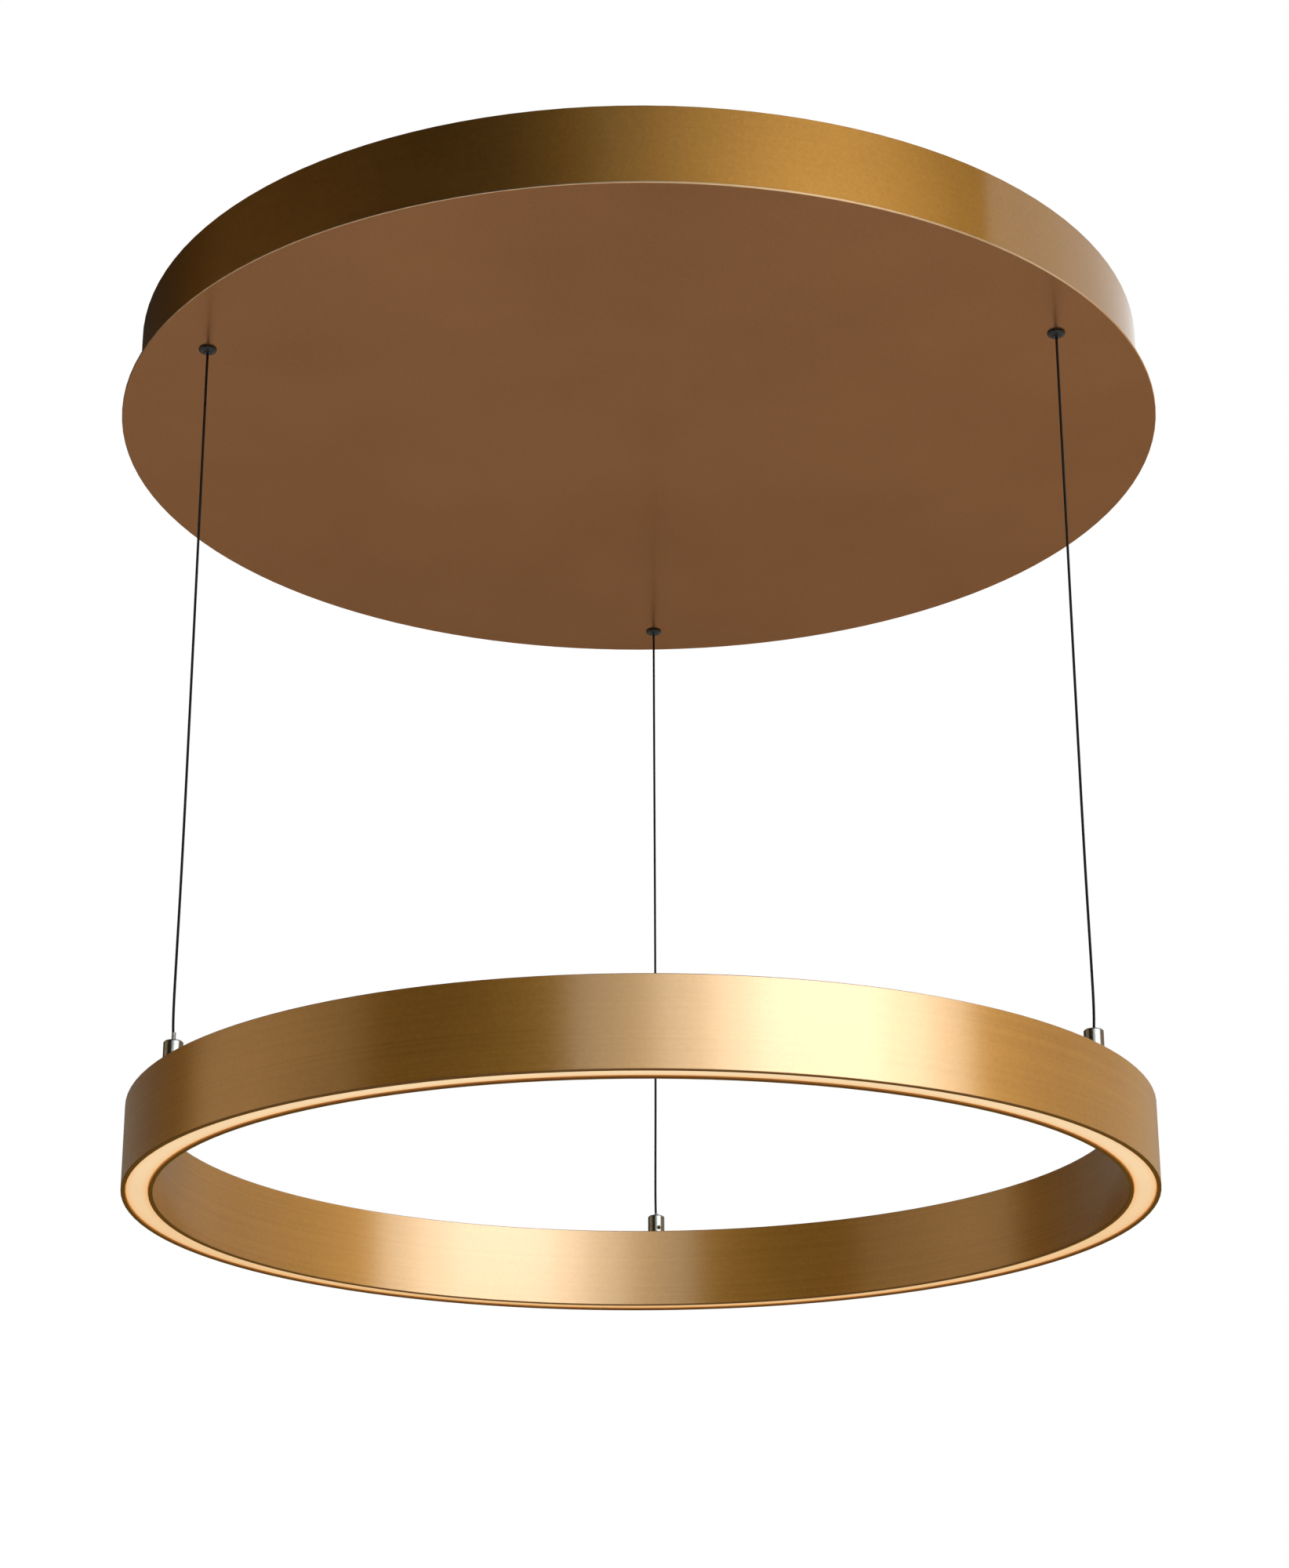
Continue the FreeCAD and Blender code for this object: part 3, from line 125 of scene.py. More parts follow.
def noise(tree, scale, detail=3, stretch=(1, 1, 1), roughness=0.5):
    field = add(tree, "ShaderNodeTexNoise", Scale=scale, Detail=detail, Roughness=roughness)
    wire(tree, stretched(tree, stretch), "Vector", field, "Vector")
    return field


def ramp(tree, source, output, stops):
    """A colour ramp driven by a factor; stops are (position, colour)."""
    node = add(tree, "ShaderNodeValToRGB")
    elements = node.color_ramp.elements
    while len(elements) < len(stops):
        elements.new(0.5)
    for element, (position, colour) in zip(elements, stops):
        element.position = position
        element.color = (*colour, 1)
    wire(tree, source, output, node, "Fac")
    return node


def span(tree, source, output, low, high):
    """Maps a 0 to 1 factor to low to high."""
    node = add(tree, "ShaderNodeMapRange")
    node.inputs["To Min"].default_value = low
    node.inputs["To Max"].default_value = high
    wire(tree, source, output, node, "Value")
    return node


def bump(tree, shader, field, strength, distance):
    node = add(tree, "ShaderNodeBump", Strength=strength, Distance=distance)
    wire(tree, field, "Fac", node, "Height")
    wire(tree, node, "Normal", shader, "Normal")


def speckled(name, dark, light, scale, low, high, metallic=0.0, grain=0.0, stretch=(1, 1, 1), **sockets):
    """A material whose colour, roughness and relief vary finely."""
    material, tree, shader = new_material(name)
    field = noise(tree, scale, 4, stretch)
    colour = ramp(tree, field, "Fac", [(0.3, dark), (0.7, light)])
    wire(tree, colour, "Color", shader, "Base Color")
    wire(tree, span(tree, field, "Fac", low, high), "Result", shader, "Roughness")
    shader.inputs["Metallic"].default_value = metallic
    for key, value in sockets.items():
        shader.inputs[key.replace("_", " ")].default_value = value
    if grain:
        bump(tree, shader, field, grain, 0.0001)
    return material


def mixed_factor(tree, share, first, first_output, second):
    """Part of one grey field replaced by a noise field."""
    node = add(tree, "ShaderNodeMix", data_type="FLOAT")
    node.inputs["Factor"].default_value = share
    wire(tree, first, first_output, node, "A")
    wire(tree, second, "Fac", node, "B")
    return node


def gold_lacquer(name, dark, light, edge, banding, gloss, coat, coat_gloss, coat_index=1.5):
    """Gold metallic lacquer with fine flake, soft mottling, faint drawn bands and a clear coat."""
    material, tree, shader = new_material(name)
    flake = noise(tree, 2600, 2, (1, 1, 1), 0.6)
    bands = noise(tree, 1, 4, (3, 3, 700), 0.55)
    mottle = noise(tree, 420, 4, (1, 1, 1), 0.6)
    cloud = noise(tree, 9, 2, (1, 1, 1), 0.5)
    toned = mixed_factor(tree, banding, flake, "Fac", bands)
    toned = mixed_factor(tree, 0.3, toned, "Result", mottle)
    toned = mixed_factor(tree, 0.25, toned, "Result", cloud)
    colour = ramp(tree, toned, "Result", [(0.40, dark), (0.60, light)])
    wire(tree, colour, "Color", shader, "Base Color")
    swing = 0.09
    wire(tree, span(tree, toned, "Result", gloss - swing, gloss + swing), "Result", shader, "Roughness")
    shader.inputs["Metallic"].default_value = 1
    shader.inputs["Specular Tint"].default_value = (*edge, 1)
    shader.inputs["Coat Weight"].default_value = coat
    shader.inputs["Coat Roughness"].default_value = coat_gloss
    shader.inputs["Coat IOR"].default_value = coat_index
    bump(tree, shader, mottle, 0.08, 0.00004)
    return material


def radius_field(tree):
    """The distance from the lamp's axis."""
    place = add(tree, "ShaderNodeTexCoord")
    split = add(tree, "ShaderNodeSeparateXYZ")
    wire(tree, place, "Object", split, "Vector")
    flat = add(tree, "ShaderNodeCombineXYZ")
    wire(tree, split, "X", flat, "X")
    wire(tree, split, "Y", flat, "Y")
    reach = add(tree, "ShaderNodeVectorMath", operation="LENGTH")
    wire(tree, flat, "Vector", reach, "Vector")
    return reach


def height_field(tree):
    """The object coordinates taken apart; the Z output is the height."""
    place = add(tree, "ShaderNodeTexCoord")
    split = add(tree, "ShaderNodeSeparateXYZ")
    wire(tree, place, "Object", split, "Vector")
    return split


def painted_light_zone(material, field, output, start, end, colour):
    """A painted shade or painted highlight tone where a field passes from start to end, with no clear coat
    on it.
    """
    tree = material.node_tree
    shader = tree.nodes["Principled BSDF"]
    inside = add(tree, "ShaderNodeMapRange")
    inside.inputs["From Min"].default_value = start
    inside.inputs["From Max"].default_value = end
    wire(tree, field(tree), output, inside, "Value")
    body_colour = shader.inputs["Base Color"].links[0].from_socket
    tone = add(tree, "ShaderNodeMix", data_type="RGBA")
    wire(tree, inside, "Result", tone, "Factor")
    tree.links.new(body_colour, tone.inputs["A"])
    tone.inputs["B"].default_value = (*colour, 1)
    tree.links.new(tone.outputs["Result"], shader.inputs["Base Color"])
    bare = add(tree, "ShaderNodeMapRange")
    bare.inputs["To Min"].default_value = shader.inputs["Coat Weight"].default_value
    bare.inputs["To Max"].default_value = 0
    wire(tree, inside, "Result", bare, "Value")
    wire(tree, bare, "Result", shader, "Coat Weight")


RING_GOLD = gold_lacquer(
    "ring_gold", dark=(0.31, 0.150, 0.019), light=(0.41, 0.211, 0.034), edge=(0.80, 0.60, 0.30),
    banding=0.5, gloss=0.52, coat=1.0, coat_gloss=0.21, coat_index=1.85)
CANOPY_GOLD = gold_lacquer(
    "canopy_gold", dark=(0.275, 0.137, 0.030), light=(0.355, 0.186, 0.044), edge=(0.80, 0.60, 0.36),
    banding=0.12, gloss=0.42, coat=1.0, coat_gloss=0.12)
DISC_GOLD = gold_lacquer(
    "disc_gold", dark=(0.285, 0.128, 0.055), light=(0.350, 0.163, 0.072), edge=(0.66, 0.46, 0.32),
    banding=0.12, gloss=0.30, coat=0.2, coat_gloss=0.14)

# The ring's lips, which stand out below the diffuser, are painted darker as shade, and the disc's rim is
# painted paler as a highlight.
LIP_PAINTED_SHADE = (0.15, 0.078, 0.032)
RIM_PAINTED_HIGHLIGHT = (0.60, 0.43, 0.27)
painted_light_zone(RING_GOLD, height_field, "Z", RING_LOW_Z + 0.8 * MM, RING_LOW_Z + 0.4 * MM, LIP_PAINTED_SHADE)
# The disc's rim is painted paler, a painted highlight where its edge catches the lamps.
painted_light_zone(DISC_GOLD, radius_field, "Value", DISC_RADIUS - 0.4 * MM, DISC_RADIUS - 0.2 * MM, RIM_PAINTED_HIGHLIGHT)


def opal_glow():
    """Opal plastic lit from behind, cream in the middle of the strip; the orange at its edges and the
    orange and dark at glancing views are painted light and painted shade from the lips of its recess.
    """
    material, tree, shader = new_material("opal_diffuser")
    away = add(tree, "ShaderNodeMapRange")
    away.inputs["From Min"].default_value = CABLE_CIRCLE - DIFFUSER_HALF_WIDTH
    away.inputs["From Max"].default_value = CABLE_CIRCLE + DIFFUSER_HALF_WIDTH
    wire(tree, radius_field(tree), "Value", away, "Value")
    # The orange at the strip's edges is painted shade of the recess, with painted light from the lips' lit
    # inner sides.
    edge = (0.80, 0.33, 0.06)
    warm = (0.74, 0.46, 0.21)
    cream = (0.74, 0.53, 0.30)
    glow = ramp(tree, away, "Result", [
        (0.0, edge), (0.10, warm), (0.32, cream), (0.68, cream), (0.90, warm), (1.0, edge),
    ])
    # The tint by slant of view paints light and shade: orange for the lit inner sides of the lips, dark
    # where the lips hide the strip.
    slant = add(tree, "ShaderNodeLayerWeight", Blend=0.5)
    tint = ramp(tree, slant, "Facing", [
        (0.0, (1.0, 1.0, 1.0)), (0.72, (1.0, 1.0, 1.0)), (0.765, (0.96, 0.92, 0.87)),
        (0.81, (0.88, 0.64, 0.31)), (1.0, (0.30, 0.18, 0.08)),
    ])
    toned = add(tree, "ShaderNodeMix", data_type="RGBA", blend_type="MULTIPLY")
    toned.inputs["Factor"].default_value = 1
    tree.links.new(glow.outputs["Color"], toned.inputs["A"])
    tree.links.new(tint.outputs["Color"], toned.inputs["B"])
    mottle = noise(tree, 14, 2)
    tree.links.new(toned.outputs["Result"], shader.inputs["Emission Color"])
    wire(tree, span(tree, mottle, "Fac", 0.98, 1.12), "Result", shader, "Emission Strength")
    shader.inputs["Base Color"].default_value = (0.16, 0.13, 0.09, 1)
    shader.inputs["Specular IOR Level"].default_value = 0.3
    wire(tree, span(tree, mottle, "Fac", 0.42, 0.5), "Result", shader, "Roughness")
    return material


OPAL = opal_glow()
CHROME = speckled("chrome", (0.13, 0.14, 0.155), (0.19, 0.20, 0.22), 900, 0.15, 0.22, metallic=1)
BLACK_SHEATH = speckled(
    "black_sheath", (0.005, 0.0045, 0.004), (0.011, 0.010, 0.009), 1500, 0.38, 0.5,
    Specular_IOR_Level=0.05)
BLACK_METAL = speckled(
    "black_metal", (0.006, 0.006, 0.006), (0.012, 0.012, 0.012), 1200, 0.16, 0.26, grain=0.05,
    Specular_IOR_Level=0.30)
ZINC = speckled(
    "zinc_steel", (0.42, 0.43, 0.45), (0.60, 0.61, 0.62), 260, 0.25, 0.42, metallic=1, grain=0.1)
BRIGHT_STEEL = speckled(
    "bright_steel", (0.55, 0.56, 0.58), (0.68, 0.69, 0.70), 700, 0.12, 0.2, metallic=1)
DARK_STEEL = speckled(
    "dark_steel", (0.035, 0.03, 0.026), (0.06, 0.052, 0.045), 900, 0.3, 0.42, metallic=1)
ALUMINIUM = speckled(
    "milled_aluminium", (0.55, 0.56, 0.57), (0.68, 0.69, 0.70), 400, 0.28, 0.4, metallic=1, grain=0.1,
    stretch=(1, 1, 12))
TINNED = speckled(
    "tinned_sleeve", (0.55, 0.54, 0.52), (0.70, 0.69, 0.66), 500, 0.25, 0.38, metallic=1, grain=0.1)
WHITE_PLASTIC = speckled(
    "white_plastic", (0.72, 0.72, 0.70), (0.80, 0.80, 0.78), 1400, 0.42, 0.55, grain=0.12)
STRIP_WHITE = speckled("white_circuit", (0.70, 0.70, 0.67), (0.78, 0.78, 0.75), 900, 0.4, 0.5)
BOARD_GREEN = speckled("circuit_board", (0.008, 0.075, 0.03), (0.02, 0.13, 0.05), 350, 0.3, 0.45, grain=0.2)
WHITE_SHEATH = speckled("white_sheath", (0.68, 0.68, 0.66), (0.76, 0.76, 0.74), 900, 0.35, 0.45)
LEAD_RED = speckled("lead_sheath", (0.24, 0.02, 0.015), (0.32, 0.03, 0.022), 900, 0.35, 0.45)


def earth_stripes():
    """Green sheath with a yellow stripe along it."""
    material, tree, shader = new_material("earth_sheath")
    wave = add(tree, "ShaderNodeTexWave", Scale=420, Distortion=0.6)
    wave.bands_direction = "Z"
    wire(tree, stretched(tree, (1, 1, 1)), "Vector", wave, "Vector")
    colour = ramp(tree, wave, "Fac", [(0.5, (0.05, 0.28, 0.05)), (0.56, (0.70, 0.62, 0.05))])
    wire(tree, colour, "Color", shader, "Base Color")
    wire(tree, span(tree, wave, "Fac", 0.36, 0.42), "Result", shader, "Roughness")
    return material


def light_chip():
    """Warm phosphor of a lit chip."""
    material = speckled("light_chip", (0.80, 0.60, 0.20), (0.90, 0.72, 0.30), 1200, 0.4, 0.5)
    shader = material.node_tree.nodes["Principled BSDF"]
    shader.inputs["Emission Color"].default_value = (1.0, 0.72, 0.38, 1)
    shader.inputs["Emission Strength"].default_value = 1.5
    return material


def clear_sleeve():
    """Smoky clear plastic, thin enough to show the cable inside."""
    material = speckled("clear_sleeve", (0.16, 0.16, 0.165), (0.24, 0.24, 0.245), 1600, 0.16, 0.24)
    shader = material.node_tree.nodes["Principled BSDF"]
    shader.inputs["Transmission Weight"].default_value = 0.4
    shader.inputs["IOR"].default_value = 1.49
    return material


EARTH_SHEATH = earth_stripes()
CHIP = light_chip()
CLEAR = clear_sleeve()

NODE_MATERIALS = {
    "ring_profile": RING_GOLD, "ring_top_cover": RING_GOLD, "diffuser": OPAL, "led_strip": STRIP_WHITE,
    "led_chips": CHIP, "anchor_screws": ZINC, "connector_grub_screws": DARK_STEEL,
    "canopy_drum": CANOPY_GOLD, "canopy_face_plate": DISC_GOLD, "face_plate_nuts": ZINC,
    "cable_end_sleeves": TINNED, "grip_nuts": ZINC,
    "ceiling_bracket": ZINC, "bracket_side_screws": DARK_STEEL,
    "driver_case": WHITE_PLASTIC, "driver_lid": WHITE_PLASTIC, "driver_board": BOARD_GREEN,
    "driver_screws": ZINC, "terminal_block": WHITE_PLASTIC, "terminal_screws": ZINC, "earth_screw": ZINC,
}
for side in CABLE_ANGLES:
    NODE_MATERIALS.update({
        f"anchor_block_{side}": ALUMINIUM, f"cable_connector_{side}": CHROME,
        f"cable_sleeve_{side}": CLEAR, f"grip_barrel_{side}": BLACK_METAL, f"grip_cap_{side}": BLACK_METAL,
        f"grip_plunger_{side}": BLACK_METAL, f"grip_balls_{side}": BRIGHT_STEEL,
    })
for name, material in NODE_MATERIALS.items():
    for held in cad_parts[name].material_slots:
        held.material = material


# Lines and tubes


def spline_curve(name, points, radius=0.0):
    """A smooth curve whose control points are the route's points."""
    data = bpy.data.curves.new(name, "CURVE")
    data.dimensions = "3D"
    data.resolution_u = 8
    data.bevel_depth = radius
    data.bevel_resolution = 4
    data.use_fill_caps = True
    line = data.splines.new("NURBS")
    line.points.add(len(points) - 1)
    for point, spot in zip(line.points, points):
        point.co = (*spot, 1)
    line.order_u = 3
    line.use_endpoint_u = True
    curve = bpy.data.objects.new(name, data)
    bpy.context.scene.collection.objects.link(curve)
    return curve


def spline_points(points):
    """The points of the smooth line through a route."""
    curve = spline_curve("route", points)
    bpy.context.view_layer.update()
    mesh = bpy.data.meshes.new_from_object(curve)
    spots = [vertex.co.copy() for vertex in mesh.vertices]
    bpy.data.meshes.remove(mesh)
    bpy.data.objects.remove(curve)
    return spots


def run_length(spots):
    return sum((after - before).length for before, after in zip(spots, spots[1:]))


def tube(name, spots, radius, around=16):
    """A round mesh tube that follows a line."""
    mesh = bpy.data.meshes.new(name)
    shape = bmesh.new()
    rings = []
    side = Vector((1, 0, 0))
    for index, spot in enumerate(spots):
        ahead = (spots[min(index + 1, len(spots) - 1)] - spots[max(index - 1, 0)]).normalized()
        side = (side - ahead * side.dot(ahead)).normalized()
        across = ahead.cross(side)
        rings.append([
            shape.verts.new(spot + (side * math.cos(turn) + across * math.sin(turn)) * radius)
            for turn in (2 * math.pi * step / around for step in range(around))
        ])
    for low, high in zip(rings, rings[1:]):
        for step in range(around):
            following = (step + 1) % around
            shape.faces.new((low[step], low[following], high[following], high[step]))
    shape.faces.new(reversed(rings[0]))
    shape.faces.new(rings[-1])
    for face in shape.faces:
        face.smooth = len(face.verts) == 4
    bmesh.ops.recalc_face_normals(shape, faces=shape.faces)
    shape.to_mesh(mesh)
    shape.free()
    piece = bpy.data.objects.new(name, mesh)
    bpy.context.scene.collection.objects.link(piece)
    return piece


def directions(angle):
    """Outward and along the circle at an angle."""
    turn = math.radians(angle)
    return Vector((math.cos(turn), math.sin(turn), 0)), Vector((-math.sin(turn), math.cos(turn), 0))


# Hanging cables

CABLE_RADIUS = 0.75 * MM
CABLE_LOW_Z = RING_TOP_Z - 0.014

# Each cable's route in mm: how far it bows along x and y, and the height above its lower end.
CABLE_LINES = {
    "far": [
        (0, 0, 0), (0, 0, 20), (-0.5, 0, 34), (-0.4, 0, 60), (0, 0, 120), (0.1, 0, 240), (0, 0, 360),
        (0, 0, 440), (0, 0, 478),
    ],
    "left": [
        (0, 0, 0), (0, 0, 24), (-0.9, 0, 40), (-0.7, 0, 70), (-0.1, 0, 130), (0, 0.1, 240), (0, 0, 360),
        (0, 0, 440), (0, 0, 478),
    ],
    "right": [
        (0, 0, 0), (0, 0, 22), (0.9, 0, 38), (0.7, 0, 66), (0.1, 0, 130), (0, 0.1, 240), (0, 0, 360),
        (0, 0, 440), (0, 0, 478),
    ],
}


def hanging_cable(side):
    """The visible cable, a tube along a fixed route up from the ring."""
    outward = directions(CABLE_ANGLES[side])[0] * CABLE_CIRCLE
    route = [outward + Vector((x * MM, y * MM, CABLE_LOW_Z + up * MM)) for x, y, up in CABLE_LINES[side]]
    spots = spline_points(route)
    piece = tube(f"hanging_cable_{side}", spots, CABLE_RADIUS)
    piece.data.materials.append(BLACK_SHEATH)
    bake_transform(piece)
    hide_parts(f"cable_{side}")


# Spare cable in the canopy

SLACK_LIE = -0.05245
COIL_TURNS = 4
COIL_STEPS = 16
COIL_CENTRE_IN, COIL_CENTRE_ASIDE = 0.050, 0.0476
COIL_OUTER = 0.0485
COIL_PITCH = 0.0024


def slack_route(side):
    """Up out of the grip, over, down to the plate, and round in a flat coil that ends inside."""
    outward, along = directions(CABLE_ANGLES[side])
    inward = -outward
    grip = outward * CABLE_CIRCLE

    def at(reach, aside, height):
        return (grip + inward * reach + along * aside).xy.to_3d() + Vector((0, 0, height))

    route = [
        at(0, 0, -0.031), at(0, 0, -0.023), at(0.002, 0, -0.0148), at(0.012, 0, -0.0140),
        at(0.022, 0, -0.0155), at(0.0243, 0, -0.027), at(0.0243, 0, -0.040), at(0.028, 0, -0.0505),
        at(0.037, 0, SLACK_LIE),
    ]
    for step in range(COIL_TURNS * COIL_STEPS):
        turn = 2 * math.pi * step / COIL_STEPS
        reach = COIL_OUTER - COIL_PITCH * step / COIL_STEPS
        inwards = COIL_CENTRE_IN + reach * math.sin(turn)
        route.append(at(inwards, COIL_CENTRE_ASIDE - reach * math.cos(turn), SLACK_LIE))
    route += [
        at(0.0500, 0.0093, SLACK_LIE), at(0.0560, 0.0100, SLACK_LIE), at(0.0582, 0.0140, SLACK_LIE),
        at(0.0580, 0.0176, SLACK_LIE),
    ]
    return route


def coiled_slack(side):
    """The coil of spare cable behind a grip."""
    route = slack_route(side)
    spots = spline_points(route)
    piece = spline_curve(f"spare_cable_{side}", route, CABLE_RADIUS)
    piece.data.materials.append(BLACK_SHEATH)
    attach(piece, "canopy")
    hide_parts(f"cable_slack_{side}")


# Leads, with their routes in mm

OUTPUT_ROUTES = {
    "right": [
        (206.5, -6, -16), (217, -6, -16), (226, -10, -22), (231, -16, -32), (231.5, -22, -41),
        (229.5, -30, -46.6), (228, -39, -47.4), (227, -48, -48.8), (226.5, -57.5, -50.6),
        (225.8, -69, -51.7), (222.1, -81.4, -51.6), (216.6, -90.8, -51.6),
    ],
    "far": [
        (206.5, 6, -16), (217, 6, -16), (226, 10, -22), (229, 20, -33), (222, 34, -44),
        (206, 54, -51), (180, 82, -52.2), (148, 108, -52.1), (114, 132, -52.2), (82, 152, -52.1),
        (54, 167, -52.2), (30, 180, -51.6), (8, 192, -48.6), (-12, 203, -47.4), (-31, 209, -47.8),
        (-47, 210, -49.8), (-62.6, 210.4, -51.3), (-69.6, 221.6, -51.6), (-62.6, 233, -51.8),
        (-46, 233, -51.6), (-29.7, 233, -51.6),
    ],
}
MAINS_ROUTE = [
    (-21.7, 0, -9), (-11, 0, -9), (4, -1, -12), (20, -2.4, -15.6), (38, -2.4, -17.4),
    (56, -1.4, -17.4), (71, 0, -16), (84, 0.2, -16), (96, 0, -16),
]
EARTH_ROUTE = [
    (-52, 9, -9), (-60, 9.4, -9.6), (-69, 10.6, -12), (-79, 11.6, -14), (-90, 10.2, -13),
    (-98, 7.2, -9.6), (-104, 4, -6.6), (-108, 2.2, -5.4),
]


def feed_route(start, step):
    """From a cable's end into its block, along the wire channel and down to the strip; step is 1 or -1."""
    centre, channel = CABLE_CIRCLE / MM, 295.2
    cable_end, level, strip = -509.3, RING_LOW_Z / MM + 19.5, RING_LOW_Z / MM + 16
    turns = [start + step * part for part in (6, 15, 24, 33, 42, 51, 54.6, 56.2)]
    last = start + step * 57

    def spot(reach, angle, height):
        return (reach * math.cos(math.radians(angle)), reach * math.sin(math.radians(angle)), height)

    return [
        spot(centre, start, cable_end), spot(centre, start, level), spot(channel + 0.29, start, level),
        *[spot(channel + 0.2, turn, level) for turn in turns],
        spot(channel, last, level), spot(channel, last, strip),
    ]


def lead(name, route, radius, material, body):
    """A loose lead that follows a route."""
    spots = [Vector(point) * MM for point in route]
    piece = spline_curve(f"{name}_line", spots, radius)
    piece.data.materials.append(material)
    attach(piece, body)
    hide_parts(name)
    run_length(spline_points(spots))


for side in CABLE_ANGLES:
    hanging_cable(side)
    coiled_slack(side)
for side, route in OUTPUT_ROUTES.items():
    lead(f"output_lead_{side}", route, 1.0 * MM, LEAD_RED, "canopy")
lead("mains_lead", MAINS_ROUTE, 2.5 * MM, WHITE_SHEATH, "canopy")
lead("earth_lead", EARTH_ROUTE, 1.2 * MM, EARTH_SHEATH, "canopy")
lead("feed_lead_far", feed_route(90, -1), 0.6 * MM, LEAD_RED, "ring")
lead("feed_lead_right", feed_route(-30, 1), 0.6 * MM, LEAD_RED, "ring")


# Grip springs

SPRING_LOW, SPRING_HIGH = -45.6 * MM, -34.9 * MM
SPRING_RADIUS = 1.7 * MM
SPRING_WIRE_RADIUS = 0.25 * MM
SPRING_TURNS = 6
SPRING_STEPS = 36


def grip_spring(side):
    """The spring above a plunger: its upper end is under the cap and its lower end on the plunger."""
    outward, along = directions(CABLE_ANGLES[side])
    steps = SPRING_TURNS * SPRING_STEPS
    spots = []
    for step in range(steps + 1):
        turn = 2 * math.pi * step / SPRING_STEPS
        height = SPRING_LOW + (SPRING_HIGH - SPRING_LOW) * step / steps
        reach = CABLE_CIRCLE + SPRING_RADIUS * math.cos(turn)
        spots.append(outward * reach + along * SPRING_RADIUS * math.sin(turn) + Vector((0, 0, height)))
    piece = tube(f"coiled_spring_{side}", spots, SPRING_WIRE_RADIUS, 12)
    piece.data.materials.append(BRIGHT_STEEL)
    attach(piece, "canopy")
    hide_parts(f"grip_spring_{side}")
    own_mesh(piece)


for side in CABLE_ANGLES:
    grip_spring(side)


# Floor, world and lights

FLOOR_Z = -1.75
FLOOR_REACH = 14
LAMP_MIDDLE = Vector((0, 0, -0.3))


def sky_direction(azimuth, elevation):
    """From the lamp's middle outward, in degrees; azimuth 0 is the camera's side, 90 is +X."""
    turn, rise = math.radians(azimuth), math.radians(elevation)
    return Vector((math.sin(turn) * math.cos(rise), -math.cos(turn) * math.cos(rise), math.sin(rise)))


def make_floor():
    """A plain pale floor that is see-through from below."""
    mesh = bpy.data.meshes.new("floor")
    corners = [(-1, -1), (1, -1), (1, 1), (-1, 1)]
    mesh.from_pydata([(x * FLOOR_REACH, y * FLOOR_REACH, FLOOR_Z) for x, y in corners], [], [(0, 1, 2, 3)])
    floor = bpy.data.objects.new("floor", mesh)
    bpy.context.scene.collection.objects.link(floor)
    material, tree, shader = new_material("floor")
    shader.inputs["Base Color"].default_value = (0.82, 0.82, 0.81, 1)
    shader.inputs["Roughness"].default_value = 0.9
    geometry = add(tree, "ShaderNodeNewGeometry")
    clear = add(tree, "ShaderNodeBsdfTransparent")
    choice = add(tree, "ShaderNodeMixShader")
    wire(tree, geometry, "Backfacing", choice, "Fac")
    tree.links.new(shader.outputs["BSDF"], choice.inputs[1])
    tree.links.new(clear.outputs["BSDF"], choice.inputs[2])
    wire(tree, choice, "Shader", tree.nodes["Material Output"], "Surface")
    mesh.materials.append(material)


def make_world():
    """White for the camera, reflections and what is seen through clear plastic, dimmer for the rest."""
    world = bpy.data.worlds.new("studio")
    bpy.context.scene.world = world
    world.use_nodes = True
    tree = world.node_tree
    tree.nodes.clear()
    path = add(tree, "ShaderNodeLightPath")
    seen = add(tree, "ShaderNodeMath", operation="MAXIMUM")
    wire(tree, path, "Is Camera Ray", seen, 0)
    wire(tree, path, "Is Glossy Ray", seen, 1)
    through = add(tree, "ShaderNodeMath", operation="MAXIMUM")
    wire(tree, seen, "Value", through, 0)
    wire(tree, path, "Is Transmission Ray", through, 1)
    white = add(tree, "ShaderNodeBackground", Color=(1, 1, 1, 1), Strength=1.0)
    grey = add(tree, "ShaderNodeBackground", Color=(1, 1, 1, 1), Strength=0.7)
    choice = add(tree, "ShaderNodeMixShader")
    wire(tree, through, "Value", choice, "Fac")
    tree.links.new(grey.outputs["Background"], choice.inputs[1])
    tree.links.new(white.outputs["Background"], choice.inputs[2])
    output = add(tree, "ShaderNodeOutputWorld")
    wire(tree, choice, "Shader", output, "Surface")


WALL_REACH = 5.2
WALL_STEP, WALL_ROW_STEP = 6, 10
WALL_START, WALL_END = -186, 174
WALL_FOOT, WALL_TOP, WALL_LOW_TOP = -18, 82, 22
WALL_LOW_BEYOND = 84


def wall_mesh():
    """Part of a sphere in degrees of azimuth and elevation, low beyond one azimuth."""
    mesh = bpy.data.meshes.new("dark_wall")
    shape = bmesh.new()
    rows = []
    for azimuth in range(WALL_START, WALL_END + 1, WALL_STEP):
        top = WALL_TOP if azimuth <= WALL_LOW_BEYOND else WALL_LOW_TOP
        rows.append([
            shape.verts.new(LAMP_MIDDLE + sky_direction(azimuth, elevation) * WALL_REACH)
            for elevation in range(WALL_FOOT, top + 1, WALL_ROW_STEP)
        ])
    for before, after in zip(rows, rows[1:]):
        for index in range(min(len(before), len(after)) - 1):
            shape.faces.new((before[index], after[index], after[index + 1], before[index + 1]))
    for face in shape.faces:
        face.smooth = True
    shape.to_mesh(mesh)
    shape.free()
    return mesh


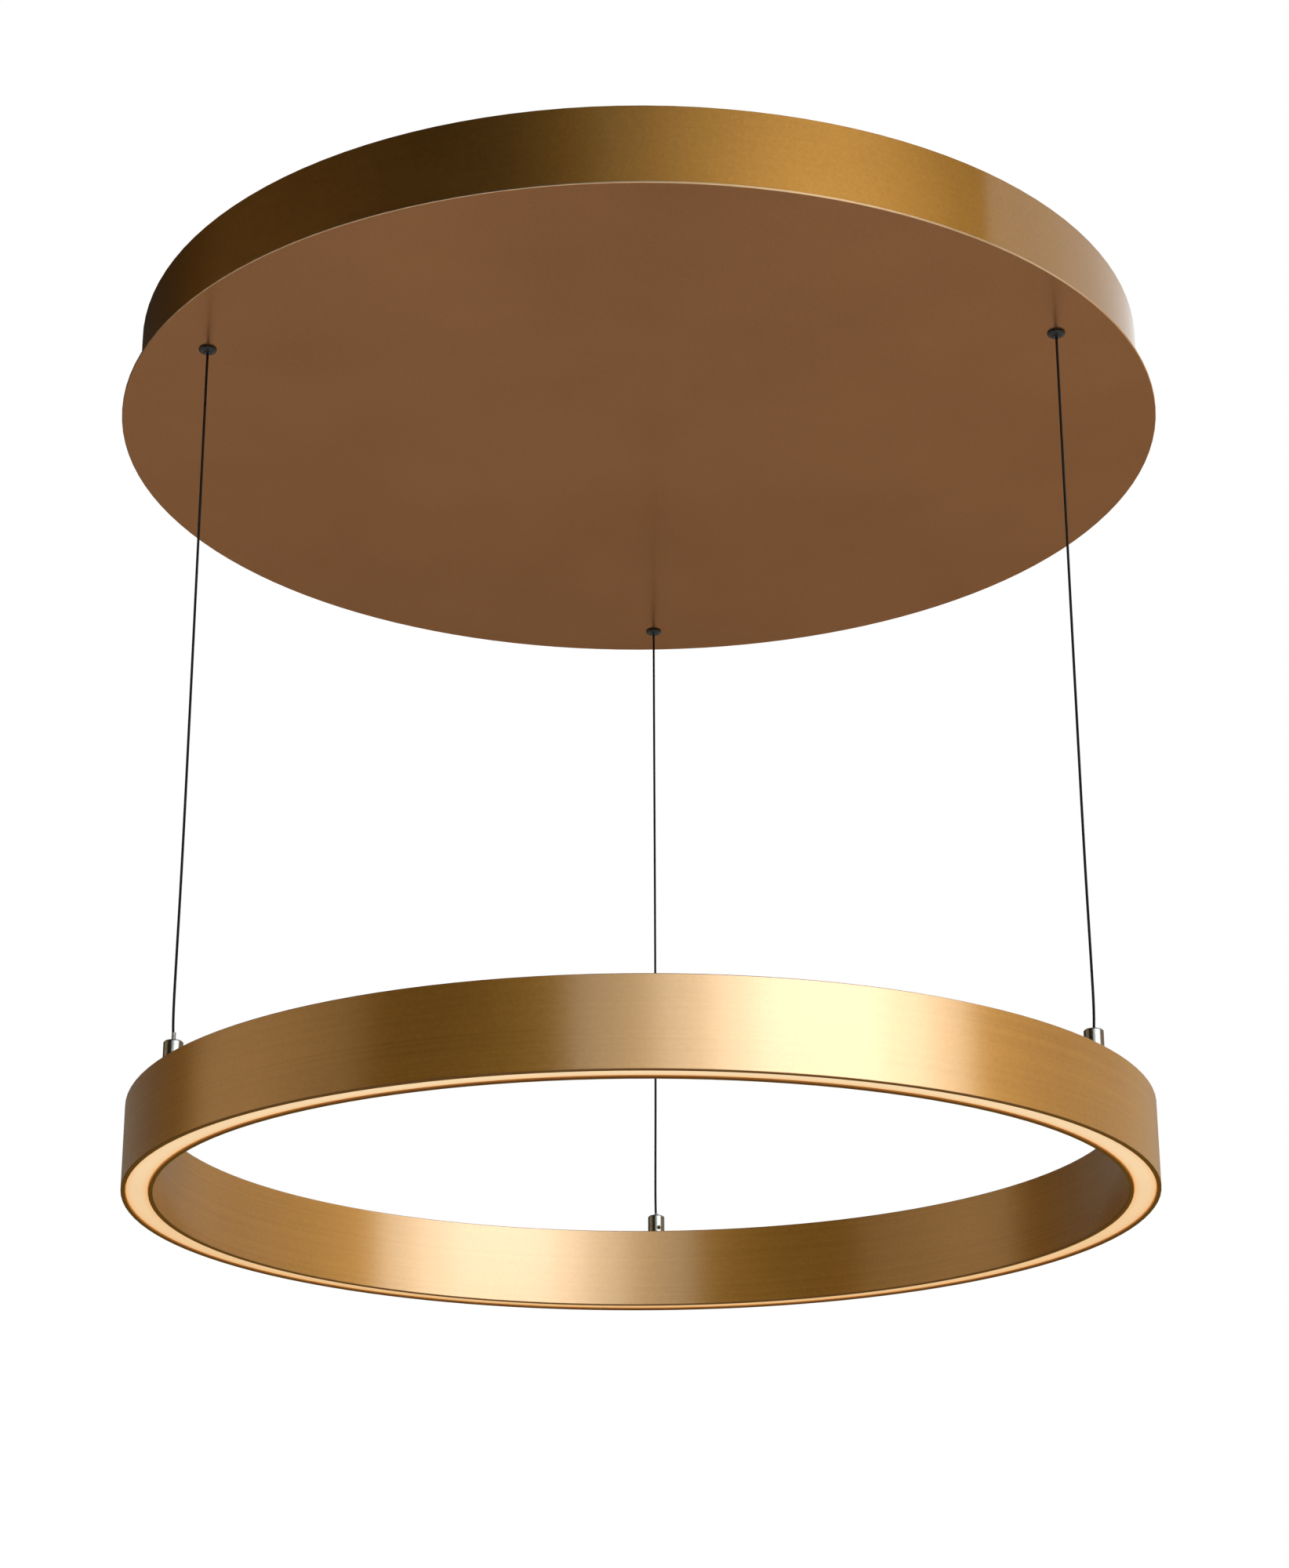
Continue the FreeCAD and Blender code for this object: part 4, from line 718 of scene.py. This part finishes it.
def wall_material():
    """Gold-toned surroundings, dark in front and pale at both sides, that only reflections see."""
    material, tree, shader = new_material("dark_wall")
    place = add(tree, "ShaderNodeTexCoord")
    about = add(tree, "ShaderNodeTexGradient", gradient_type="RADIAL")
    wire(tree, place, "Object", about, "Vector")
    # The factor is 0 or 1 at -X, 0.25 at the camera's side, 0.5 at +X and 0.75 at the rear.
    shade = ramp(tree, about, "Fac", [
        (0.0, (0.72, 0.54, 0.30)), (0.085, (0.46, 0.33, 0.17)), (0.10, (0.06, 0.035, 0.01)),
        (0.24, (0.11, 0.07, 0.025)), (0.38, (0.10, 0.065, 0.025)), (0.46, (0.66, 0.48, 0.27)),
        (0.63, (0.58, 0.45, 0.29)), (0.70, (0.30, 0.25, 0.20)), (0.76, (0.12, 0.11, 0.10)),
        (0.86, (0.16, 0.13, 0.10)), (0.94, (0.03, 0.02, 0.01)), (0.965, (0.66, 0.48, 0.26)),
    ])
    split = add(tree, "ShaderNodeSeparateXYZ")
    wire(tree, place, "Object", split, "Vector")
    height = add(tree, "ShaderNodeMapRange")
    height.inputs["From Min"].default_value = 0.8
    height.inputs["From Max"].default_value = 2.4
    height.inputs["To Min"].default_value = 1.0
    height.inputs["To Max"].default_value = 0.02
    wire(tree, split, "Z", height, "Value")
    dimmed = add(tree, "ShaderNodeVectorMath", operation="SCALE")
    tree.links.new(shade.outputs["Color"], dimmed.inputs[0])
    wire(tree, height, "Result", dimmed, "Scale")
    wire(tree, dimmed, "Vector", shader, "Base Color")
    wire(tree, dimmed, "Vector", shader, "Emission Color")
    shader.inputs["Emission Strength"].default_value = 0.6
    shader.inputs["Roughness"].default_value = 0.9
    path = add(tree, "ShaderNodeLightPath")
    clear = add(tree, "ShaderNodeBsdfTransparent")
    choice = add(tree, "ShaderNodeMixShader")
    wire(tree, path, "Is Glossy Ray", choice, "Fac")
    tree.links.new(clear.outputs["BSDF"], choice.inputs[1])
    tree.links.new(shader.outputs["BSDF"], choice.inputs[2])
    wire(tree, choice, "Shader", tree.nodes["Material Output"], "Surface")
    return material


def dark_wall():
    """A studio wall all round the lamp, low at its right rear, seen only in reflections."""
    wall = bpy.data.objects.new("dark_wall", wall_mesh())
    bpy.context.scene.collection.objects.link(wall)
    wall.data.materials.append(wall_material())


def area_light(name, azimuth, elevation, distance, width, height, power, colour):
    """A soft box that faces the middle of the lamp."""
    data = bpy.data.lights.new(name, "AREA")
    data.shape = "RECTANGLE"
    data.size, data.size_y = width, height
    data.energy = power
    data.color = colour
    light = bpy.data.objects.new(name, data)
    bpy.context.scene.collection.objects.link(light)
    back = sky_direction(azimuth, elevation)
    light.location = LAMP_MIDDLE + back * distance
    light.rotation_mode = "QUATERNION"
    light.rotation_quaternion = back.to_track_quat("Z", "Y")


NEAR_WHITE = (1.0, 0.98, 0.96)
WARM = (1.0, 0.985, 0.86)

# Soft boxes behind each other make one light with soft ends: azimuth and elevation in degrees,
# distance, width and height in metres, power in watts, and colour.
SOFT_BOXES = {
    "key_core": (39, 15, 3.3, 1.6, 0.9, 10, NEAR_WHITE),
    "key": (40, 15, 3.5, 3.0, 1.1, 28, WARM),
    "key_soft": (40, 15, 3.7, 5.0, 1.3, 42, WARM),
    "key_spread": (30, 15, 3.9, 8.0, 1.4, 54, WARM),
    "key_high": (25, 28, 3.6, 3.6, 2.0, 3, WARM),
}

bpy.context.scene.view_settings.view_transform = "Standard"
make_floor()
make_world()
for name, values in SOFT_BOXES.items():
    area_light(name, *values)
dark_wall()
